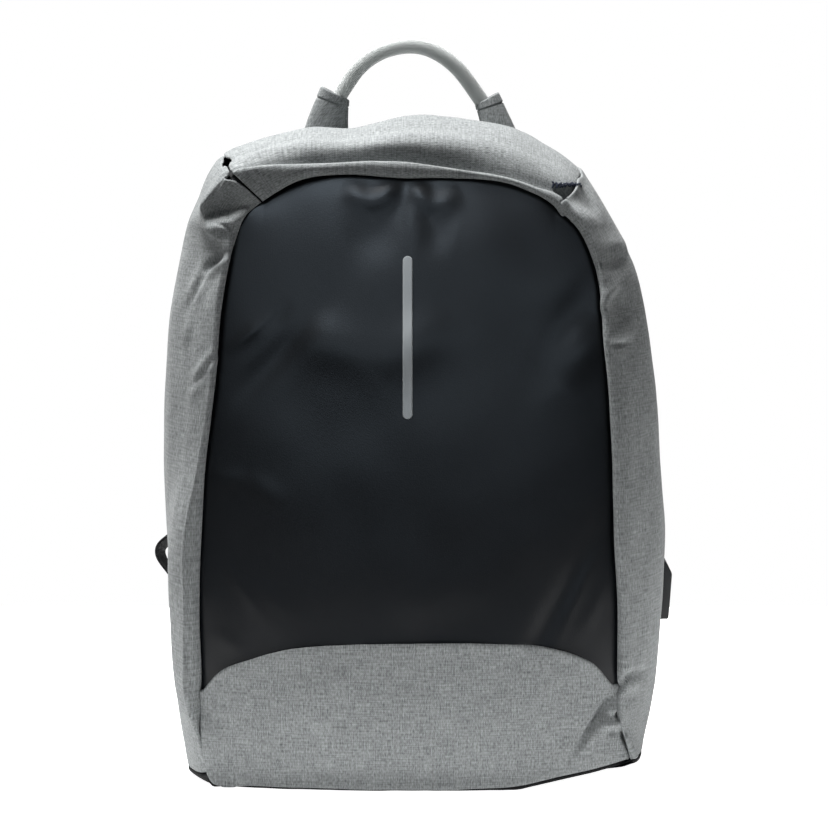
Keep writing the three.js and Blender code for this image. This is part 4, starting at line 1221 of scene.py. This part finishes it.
class BACKPACK_OT_front_panel(Operator):
    """Builds the dark coated front"""

    bl_idname = "backpack.front_panel"
    bl_label = "Front panel"

    def execute(self, context):
        across, up = np.linspace(0, 1, 171), np.linspace(0, 1, 201)

        def low(left, right):
            x = left[0] + (right[0] - left[0]) * across
            z = pocket_seam(x) - HEM_COVER
            z[[0, -1]] = left[1], right[1]
            return np.stack([x, z], -1)

        def high(*_):
            return beside_hem(LEFT_SEAM + (RIGHT_SEAM - LEFT_SEAM) * across, HEM_COVER)

        rows = ((LEFT_POCKET_ROW, LEFT_SEAM), (RIGHT_POCKET_ROW, RIGHT_SEAM))
        x, z = np.moveaxis(front_grid(across, up, *rows, low, high, (HEM_COVER, HEM_COVER)), -1, 0)
        skin, flat, area = cloth(np.stack([x, panel_depth(x, z), z], -1), PANEL_THICK, PANEL_THICK / 2)
        obj = skin.piece("front_coated", coated_cloth(), "coated_cloth", ["front_panel"])
        return {"FINISHED"}


class BACKPACK_OT_front_pocket(Operator):
    """Builds the grey lower pocket"""

    bl_idname = "backpack.front_pocket"
    bl_label = "Front pocket"

    def execute(self, context):
        points = pocket_surface(fine_ends(230, CLOSE_SIDES), fine_ends(90, CLOSE_SHARES))
        skin, flat, area = cloth(points, sizes().cloth / MM, sizes().hem / MM, points[..., ::2])
        obj = skin.piece("pocket_grey", grey_cloth(), "grey_cloth", ["front_pocket"])
        return {"FINISHED"}


def pocket_surface(across, up):
    """Pocket points: the front's depth less the hem's lift, turned in and puckered along the seams."""
    x, z = np.moveaxis(pocket_outline(across, up), -1, 0)
    plain = np.stack([x, front_depth(x, z) - HEM_LIFT + fold_depth(x, z), z], -1)
    along, beside = arc_lengths(plain, 0), arc_lengths(plain, 1)
    from_top, from_side = along[-1:] - along, np.minimum(beside, beside[:, -1:] - beside)
    gape, gape_z, gape_size = POCKET_GAPE
    loose = np.maximum(mound(z - gape_z, gape, gape_size), mound(from_top, *POCKET_TIP))
    free = POCKET_HELD + (1 - POCKET_HELD) * soft_step(z - POCKET_FREE[0], POCKET_FREE[1])
    held = np.where(x < 0, free, 1 - loose)
    wide = np.where(x < 0, *POCKET_TUCK_WIDTHS)
    plain[..., 1] += POCKET_TUCK * held * np.clip(1 - from_side / wide, 0, 1) ** 2.5
    low = (x < 0) * soft_step(POCKET_PUFF_Z[0] - z, POCKET_PUFF_Z[1])
    plain[..., 1] -= low * mound(from_side, *POCKET_PUFF)
    relief = mound(from_top, *POCKET_LIP) - mound(from_top, *POCKET_PIPING) - mound(along, *POCKET_SOLE)
    relief += mound(from_top, *POCKET_PUCKERS) * ripples(x, PUCKER_SLANT * z, *PUCKER_WAVES)
    relief += crease_relief(x, z, POCKET_CREASES) + POCKET_RIPPLE * ripples(x, z, *POCKET_WAVES)
    normals, _ = grid_normals(plain)
    return plain + normals * relief[..., None]


def pocket_outline(across, up):
    """Front view grid (x, z) of the pocket, between its arched top seam and its foot."""

    def low(left, right):
        x = left[0] + (right[0] - left[0]) * across
        return np.stack([x, through_places(POCKET_FOOT[:, 0], POCKET_FOOT[:, 1:], x)[:, 0]], -1)

    def high(left, right):
        x = left[0] + (right[0] - left[0]) * across
        return np.stack([x, pocket_seam(x)], -1)

    rows = (0, LEFT_POCKET_ROW), (LAST_ROW, RIGHT_POCKET_ROW)
    left = POCKET_LEFT_COVER[0] + POCKET_LEFT_COVER[1] * up
    held = soft_step(up - POCKET_HOLD[0], POCKET_HOLD[1])
    right = POCKET_RIGHT_COVER[0] + np.ptp(POCKET_RIGHT_COVER) * held
    for reach, place, size in POCKET_TONGUES:
        right = right + mound(up - place, reach, size)
    return front_grid(across, up, *rows, low, high, (left, right))


class BACKPACK_OT_reflective_strip(Operator):
    """Builds the reflective strip"""

    bl_idname = "backpack.reflective_strip"
    bl_label = "Reflective strip"

    def execute(self, context):
        radius = STRIP_WIDTH / 2
        ends = radius * (1 - np.cos(np.linspace(0.08, np.pi / 2, 14)))
        straight = np.linspace(STRIP_LOW + radius, STRIP_HIGH - radius, 80)
        z = np.concatenate([STRIP_LOW + ends[:-1], straight, STRIP_HIGH - ends[-2::-1]])
        from_end = np.minimum(z - STRIP_LOW, STRIP_HIGH - z)
        half = np.sqrt(radius**2 - np.clip(radius - from_end, 0, None) ** 2)
        x = STRIP_X + half[:, None] * np.linspace(-1, 1, 17)
        z = np.broadcast_to(z[:, None], x.shape)
        y = panel_depth(x, z) - SEAM_GAP - STRIP_THICK
        skin, _, _ = cloth(np.stack([x, y, z], -1), STRIP_THICK, STRIP_EDGE)
        skin.piece("strip_reflective", reflective_tape(), "reflector", ["reflective_strip"])
        return {"FINISHED"}


def rings_inward(rim, middle, insets):
    """Rings of points, each an inset further from the rim towards the middle, as far as the middle."""
    towards = middle - rim
    reach = np.linalg.norm(towards, axis=-1)
    return rim + towards * np.minimum(insets[:, None] / reach, 1)[..., None]


def low_back_edge(count):
    """Straight edge from the gusset's back corner at the lower right to that at the lower left."""
    ends = gusset_surface(np.array([LAST_ROW, 0.0]), np.array([1.0, 1.0]))
    return ends[0] + (ends[1] - ends[0]) * np.linspace(0, 1, count)[1:-1, None]


class BACKPACK_OT_back_panel(Operator):
    """Builds the padded back"""

    bl_idname = "backpack.back_panel"
    bl_label = "Back panel"

    def execute(self, context):
        rows = np.linspace(0, LAST_ROW, 270)
        rim = np.concatenate([gusset_surface(rows, np.ones(len(rows))), low_back_edge(50)])
        rings = rings_inward(rim, BAG_MIDDLE * (1, 0, 1) + (0, BACK_EDGE_Y, 0), PAD_INSETS)
        flat_y = BACK_EDGE_Y + SEAM_GAP
        depth, place, wide = PAD_QUILT
        swell = 1 - dying(PAD_INSETS, 1, PAD_ROUND) - mound(PAD_INSETS - place, depth, wide)
        face, inside = rings.copy(), rings.copy()
        waves = PAD_RIPPLE * ripples(rings[..., 0], rings[..., 2], *PAD_WAVES)
        face[..., 1] = flat_y + (BACK_FACE_Y - flat_y) * swell[:, None] + waves
        inside[..., 1] = flat_y
        weave = dark_weave("Dark back mesh", pitch=0.0022, light=1.8)
        obj = between(face, inside, True).piece("back_padded", weave, "dark_cloth", ["back_panel"])
        return {"FINISHED"}


class BACKPACK_OT_base_panel(Operator):
    """Builds the dark base"""

    bl_idname = "backpack.base_panel"
    bl_label = "Base panel"

    def execute(self, context):
        shares = np.linspace(0, 1, 60)[1:]
        foot = pocket_surface(np.linspace(0, 1, 180), np.array([0, 0.01]))[0] + (0, BASE_INSET, 0)
        right = gusset_surface(np.full(len(shares), float(LAST_ROW)), shares)
        left = gusset_surface(np.zeros(len(shares)), shares)[::-1]
        rim = np.concatenate([foot, right, low_back_edge(60), left])
        face = rings_inward(rim * (1, 1, 0), BASE_MIDDLE, BASE_INSETS)
        right_share = np.clip((face[..., 0] - BASE_LIFT_X[0]) / np.ptp(BASE_LIFT_X), 0, 1)
        front_share = np.clip((BASE_LIFT_Y[0] - face[..., 1]) / np.ptp(BASE_LIFT_Y), 0, 1)
        rim_z = np.maximum(0, rim[:, 2] - CLOTH_WALL - 1.5 * SEAM_GAP)
        lifted = np.minimum(BASE_CORNER_LIFT * right_share**1.2 * front_share, rim_z)
        rise = np.clip(1 - BASE_INSETS / BASE_TURN, 0, 1)[:, None] ** 2
        face[..., 2] = lifted + (rim_z - lifted) * rise
        skin = between(face, face + (0, 0, CLOTH_WALL), False)
        weave = dark_weave("Dark base cloth", pitch=0.0011, light=1.5)
        skin.piece("base_dark", weave, "dark_cloth", ["base_panel"])
        return {"FINISHED"}


class BACKPACK_OT_handle(Operator):
    """Builds the tube handle and its two sleeves"""

    bl_idname = "backpack.handle"
    bl_label = "Handle"

    def execute(self, context):
        path = through_rows(HANDLE_ARCH, np.linspace(0, len(HANDLE_ARCH) - 1, 160))
        path = np.stack([path[:, 0], np.full(len(path), float(HANDLE_Y)), path[:, 1]], -1)
        tube = around(thread_tube(path, TUBE_DIAMETER, 32))
        tube.piece("handle_arch", satin_tube(), "satin_tube", ["handle_tube"])
        for side, table, lean, step in zip(("left", "right"), (TAB_LEFT, TAB_RIGHT), TAB_LEANS, TAB_STEPS):
            sleeve = self.sleeve(table, lean, step)
            sleeve.piece(f"sleeve_{side}", grey_cloth(), "grey_cloth", [f"handle_tab_{side}"])
        return {"FINISHED"}

    @staticmethod
    def sleeve(table, lean, step):
        """Cloth sleeve: rounded rings from the foot to the mouth, doubled at the hem, then over the lip and
        down inside round the tube. Its front layer stops short of the back one at one side, with a slit."""
        height = np.linalg.norm(table[-1, :4].reshape(2, 2).mean(0) - table[0, :4].reshape(2, 2).mean(0))
        outside = np.linspace(0, 1, 70)
        below = (1 - outside) * height
        groove, under, wide = TAB_SEAM
        grow = TAB_DOUBLE[0] * soft_step(TAB_HEM - below, TAB_DOUBLE[1])
        grow -= mound(below - TAB_HEM - under, groove, wide)
        grow -= TAB_LIP[0] * (1 - np.sqrt(1 - np.clip(1 - below / TAB_LIP[1], 0, 1) ** 2))
        inside = np.linspace(1, TAB_INSIDE, 12)
        levels = np.concatenate([outside, inside]) * (len(table) - 1)
        grow = np.concatenate([grow, -np.linspace(*TAB_WALLS, len(inside))])
        x0, z0, x1, z1, thick = through_rows(table, levels).T
        y = HANDLE_Y - lean * (1 - levels / levels.max())
        centre = np.stack([(x0 + x1) / 2, y, (z0 + z1) / 2], -1)
        across = np.stack([(x1 - x0) / 2, 0 * x0, (z1 - z0) / 2], -1)
        reach = np.linalg.norm(across, axis=-1)
        loop = squared_loop(1, 1, 0.9, 128)
        wide = across * ((reach + grow) / reach)[:, None]
        deep = np.stack([0 * thick, thick / 2 + grow - TAB_PRESS, 0 * thick], -1)
        rings = carried(centre, wide, deep, loop)
        open_side = np.clip(TAB_OPEN[0] * loop[:, 0] * np.sign(step) - TAB_OPEN[1], 0, 1)
        front = np.clip(0.5 - TAB_FRONT * loop[:, 1], 0, 1)
        slit, place, size = TAB_SLIT
        short = step * open_side * (front + mound(loop[:, 1] - place, slit, size))
        rings[: len(outside)] -= short[None, :, None] * unit(across[: len(outside)])[:, None]
        return around(rings)


class BACKPACK_OT_charging_port(Operator):
    """Builds the charging port on the right side"""

    bl_idname = "backpack.charging_port"
    bl_label = "Charging port"

    def execute(self, context):
        (x0, y0, z0), (x1, y1, z1) = (np.array(corner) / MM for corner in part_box("usb_port"))
        x0 = x0 - PORT_SINK
        lean, slope_z, slope_x = PORT_SLOPES
        outline = [(x0, z0), (x1 - lean, z0), (x1, z1 - slope_z), (x1 - slope_x, z1), (x0, z1)]
        outline = self.rounded(np.array(outline), PORT_ROUND)
        inset, depth = PORT_BEVEL.T
        inset = np.concatenate([inset, inset[::-1]])
        y = np.concatenate([y0 + depth, y1 - depth[::-1]])
        ring = outline - unit(outline - outline.mean(0)) * inset[:, None, None]
        rings = np.stack([ring[..., 0], np.broadcast_to(y[:, None], ring.shape[:2]), ring[..., 1]], -1)
        around(rings).piece("port_block", moulded_plastic(), "black_plastic", ["usb_port"])
        return {"FINISHED"}

    @staticmethod
    def rounded(corners, radius, steps=6):
        """Outline with each corner replaced by a quadratic arc that starts and ends a radius from it."""
        before = corners + unit(np.roll(corners, 1, 0) - corners) * radius
        after = corners + unit(np.roll(corners, -1, 0) - corners) * radius
        t = np.linspace(0, 1, steps)[None, :, None]
        arcs = (1 - t) ** 2 * before[:, None] + 2 * t * (1 - t) * corners[:, None] + t**2 * after[:, None]
        return arcs.reshape(-1, 2)


def mirrored(table):
    """The same path on the left side."""
    return table * (-1, 1, 1, 1)


class BACKPACK_OT_shoulder_straps(Operator):
    """Builds the padded shoulder straps with their bound edges"""

    bl_idname = "backpack.shoulder_straps"
    bl_label = "Shoulder straps"

    def execute(self, context):
        section = squared_loop(STRAP_WIDTH / 2 - STRAP_BOUND, STRAP_THICK / 2, 0.5, 96)
        outer = np.clip((np.abs(section[:, 0]) - STRAP_EDGE[0]) / STRAP_EDGE[1], 0, 1)
        section[:, 1] *= 1 - STRAP_THIN[0] * outer ** STRAP_THIN[1]
        binding = squared_loop(*BINDING, 0.55, 28)
        for side, table in (("left", mirrored(STRAP_PATH)), ("right", STRAP_PATH)):
            frames = band_frames(table, 150)
            body = around(carried(*frames, section))
            obj = body.piece(f"strap_pad_{side}", grey_cloth(), "grey_cloth", [f"shoulder_strap_{side}"])
            skin = Skin()
            for edge in (-1, 1):
                around(carried(*frames, binding + (edge * (STRAP_WIDTH / 2 - BINDING_INSET), 0)), skin)
            weave = dark_weave("Dark binding", pitch=0.0009, light=1.5)
            skin.piece(f"strap_binding_{side}", weave, "dark_cloth")
        return {"FINISHED"}


class BACKPACK_OT_strap_webbing(Operator):
    """Builds the webbing and its adjusters"""

    bl_idname = "backpack.strap_webbing"
    bl_label = "Strap webbing"

    def execute(self, context):
        section = squared_loop(WEBBING_WIDTH / 2, WEBBING_THICK / 2, 0.28, 40)
        for side, table, buckle in (
            ("left", WEBBING_LEFT, mirrored(ADJUSTER_PATH)),
            ("right", WEBBING_RIGHT, ADJUSTER_PATH),
        ):
            webbing = around(carried(*band_frames(table, 220), section))
            weave = dark_weave("Dark webbing", pitch=0.0016, light=0.9)
            webbing.piece(f"webbing_{side}", weave, "dark_cloth", [f"strap_webbing_{side}"])
            adjuster = self.adjuster(buckle)
            adjuster.piece(f"adjuster_{side}", moulded_plastic(), "black_plastic", [f"strap_adjuster_{side}"])
        return {"FINISHED"}

    @staticmethod
    def adjuster(path):
        """Slider: a rounded section carried along a short path, narrower at both ends and thinner between."""
        section = squared_loop(ADJUSTER_WIDTH / 2, ADJUSTER_THICK / 2, 0.3, 48)
        centres, wide, thick = band_frames(path, 40)
        along = np.linspace(0, 1, len(centres))
        swell = 1 - mound(np.minimum(along, 1 - along), *ADJUSTER_ENDS)
        waist = 1 - mound(2 * along - 1, *ADJUSTER_WAIST)
        return around(carried(centres, wide * swell[:, None], thick * (swell * waist)[:, None], section))


class BACKPACK_OT_stage(Operator):
    """Sets the pale floor, the soft light and the camera"""

    bl_idname = "backpack.stage"
    bl_label = "Stage"

    def execute(self, context):
        self.floor()
        for light in LIGHTS:
            self.light(*light)
        self.surroundings(context.scene)
        self.camera(context.scene)
        context.scene.view_settings.view_transform = "Standard"
        return {"FINISHED"}

    @staticmethod
    def floor():
        """A wide flat grid at the height of the base, whose pale tone is held up evenly in the picture; it
        also glows onto the bag as painted bounce light, more towards its right edge.
        """
        x, y = np.meshgrid(np.linspace(*TABLE_X, 9), np.linspace(*TABLE_Y, 9))
        points = np.stack([x, y, 0 * x], -1).reshape(-1, 3)
        ids = np.arange(x.size).reshape(x.shape)
        faces = np.stack([ids[:-1, :-1], ids[:-1, 1:], ids[1:, 1:], ids[1:, :-1]], -1).reshape(-1, 4)
        mesh = bpy.data.meshes.new("floor")
        mesh.from_pydata(points.tolist(), [], faces.tolist())
        pale = grained("Pale floor", FLOOR_TONE, rough=0.9, grain_size=0.004, relief=0.00001)
        tree = pale.node_tree
        place = put(tree, "ShaderNodeTexCoord").outputs["Object"]
        apart = put(tree, "ShaderNodeSeparateXYZ", {0: place}).outputs
        # Painted bounce light: a glow that lights the bag, weak at the floor's left edge and strong at its
        # right.
        glow = spread(tree, apart["X"], *TABLE_GLOW, *TABLE_X)
        seen = put(tree, "ShaderNodeLightPath").outputs["Is Camera Ray"]
        light = {"Emission Color": (1, 1, 1, 1), "Emission Strength": maths(tree, "MAXIMUM", seen, glow)}
        set_up(tree, tree.nodes["Principled BSDF"], light)
        mesh.materials.append(pale)
        obj = bpy.data.objects.new("floor", mesh)
        bpy.context.scene.collection.objects.link(obj)

    @staticmethod
    def light(name, place, aim, size, watts, card):
        """A soft light, so wide and high, that faces a point, or a tinted card that only shines in gloss."""
        lamp = bpy.data.lights.new(name, "AREA")
        lamp.shape = "RECTANGLE"
        lamp.size, lamp.size_y = size
        lamp.energy = watts
        obj = bpy.data.objects.new(name, lamp)
        obj.location = place
        obj.rotation_euler = (Vector(aim) - Vector(place)).to_track_quat("-Z", "Y").to_euler()
        if card:
            lamp.color = SHEEN_TINT
            obj.visible_diffuse = False
        bpy.context.scene.collection.objects.link(obj)

    @staticmethod
    def surroundings(scene):
        """White seen from the camera; as light, bright above and behind the bag and dim in front of it."""
        world = bpy.data.worlds.new("Studio")
        world.use_nodes = True
        tree = world.node_tree
        place = put(tree, "ShaderNodeTexCoord").outputs["Generated"]
        towards = put(tree, "ShaderNodeVectorMath", {0: place, 1: BRIGHT_SIDE}, operation="DOT_PRODUCT")
        glow = spread(tree, towards.outputs["Value"], *ROOM_GLOW, ROOM_DIM, 1.0)
        seen = put(tree, "ShaderNodeLightPath").outputs["Is Camera Ray"]
        light = {"Color": (1, 1, 1, 1), "Strength": maths(tree, "MAXIMUM", glow, seen)}
        set_up(tree, tree.nodes["Background"], light)
        scene.world = world

    @staticmethod
    def camera(scene):
        """The photograph's viewing angle."""
        lens = bpy.data.cameras.new("Camera")
        lens.lens = CAMERA_LENS
        lens.sensor_width = CAMERA_SENSOR
        obj = bpy.data.objects.new("Camera", lens)
        obj.location = CAMERA_PLACE
        obj.rotation_euler = (Vector(CAMERA_AIM) - Vector(CAMERA_PLACE)).to_track_quat("-Z", "Y").to_euler()
        scene.collection.objects.link(obj)
        scene.camera = obj


OPERATORS = (
    BACKPACK_OT_stage,
    BACKPACK_OT_gussets,
    BACKPACK_OT_corner_tapes,
    BACKPACK_OT_front_panel,
    BACKPACK_OT_front_pocket,
    BACKPACK_OT_reflective_strip,
    BACKPACK_OT_back_panel,
    BACKPACK_OT_base_panel,
    BACKPACK_OT_handle,
    BACKPACK_OT_charging_port,
    BACKPACK_OT_shoulder_straps,
    BACKPACK_OT_strap_webbing,
)


class BACKPACK_PT_panel(Panel):
    """Sizes, colours and steps of the backpack"""

    bl_label = "Backpack"
    bl_idname = "BACKPACK_PT_panel"
    bl_space_type = "VIEW_3D"
    bl_region_type = "UI"
    bl_category = "Backpack"

    def draw(self, context):
        for group in (context.scene.backpack_sizes, context.scene.backpack_colours):
            for name in group.bl_rna.properties.keys():
                if name not in ("rna_type", "name"):
                    self.layout.prop(group, name)
        for operator in OPERATORS:
            self.layout.operator(operator.bl_idname)


CLASSES = (BackpackSizes, BackpackColours, *OPERATORS, BACKPACK_PT_panel)


def register():
    for made in CLASSES:
        bpy.utils.register_class(made)
    bpy.types.Scene.backpack_sizes = PointerProperty(type=BackpackSizes)
    bpy.types.Scene.backpack_colours = PointerProperty(type=BackpackColours)


def unregister():
    del bpy.types.Scene.backpack_colours
    del bpy.types.Scene.backpack_sizes
    for made in reversed(CLASSES):
        bpy.utils.unregister_class(made)


def main():
    """Registers the add-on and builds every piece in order."""
    register()
    for operator in OPERATORS:
        getattr(bpy.ops.backpack, operator.bl_idname.split(".")[1])()


if __name__ == "__main__":
    main()
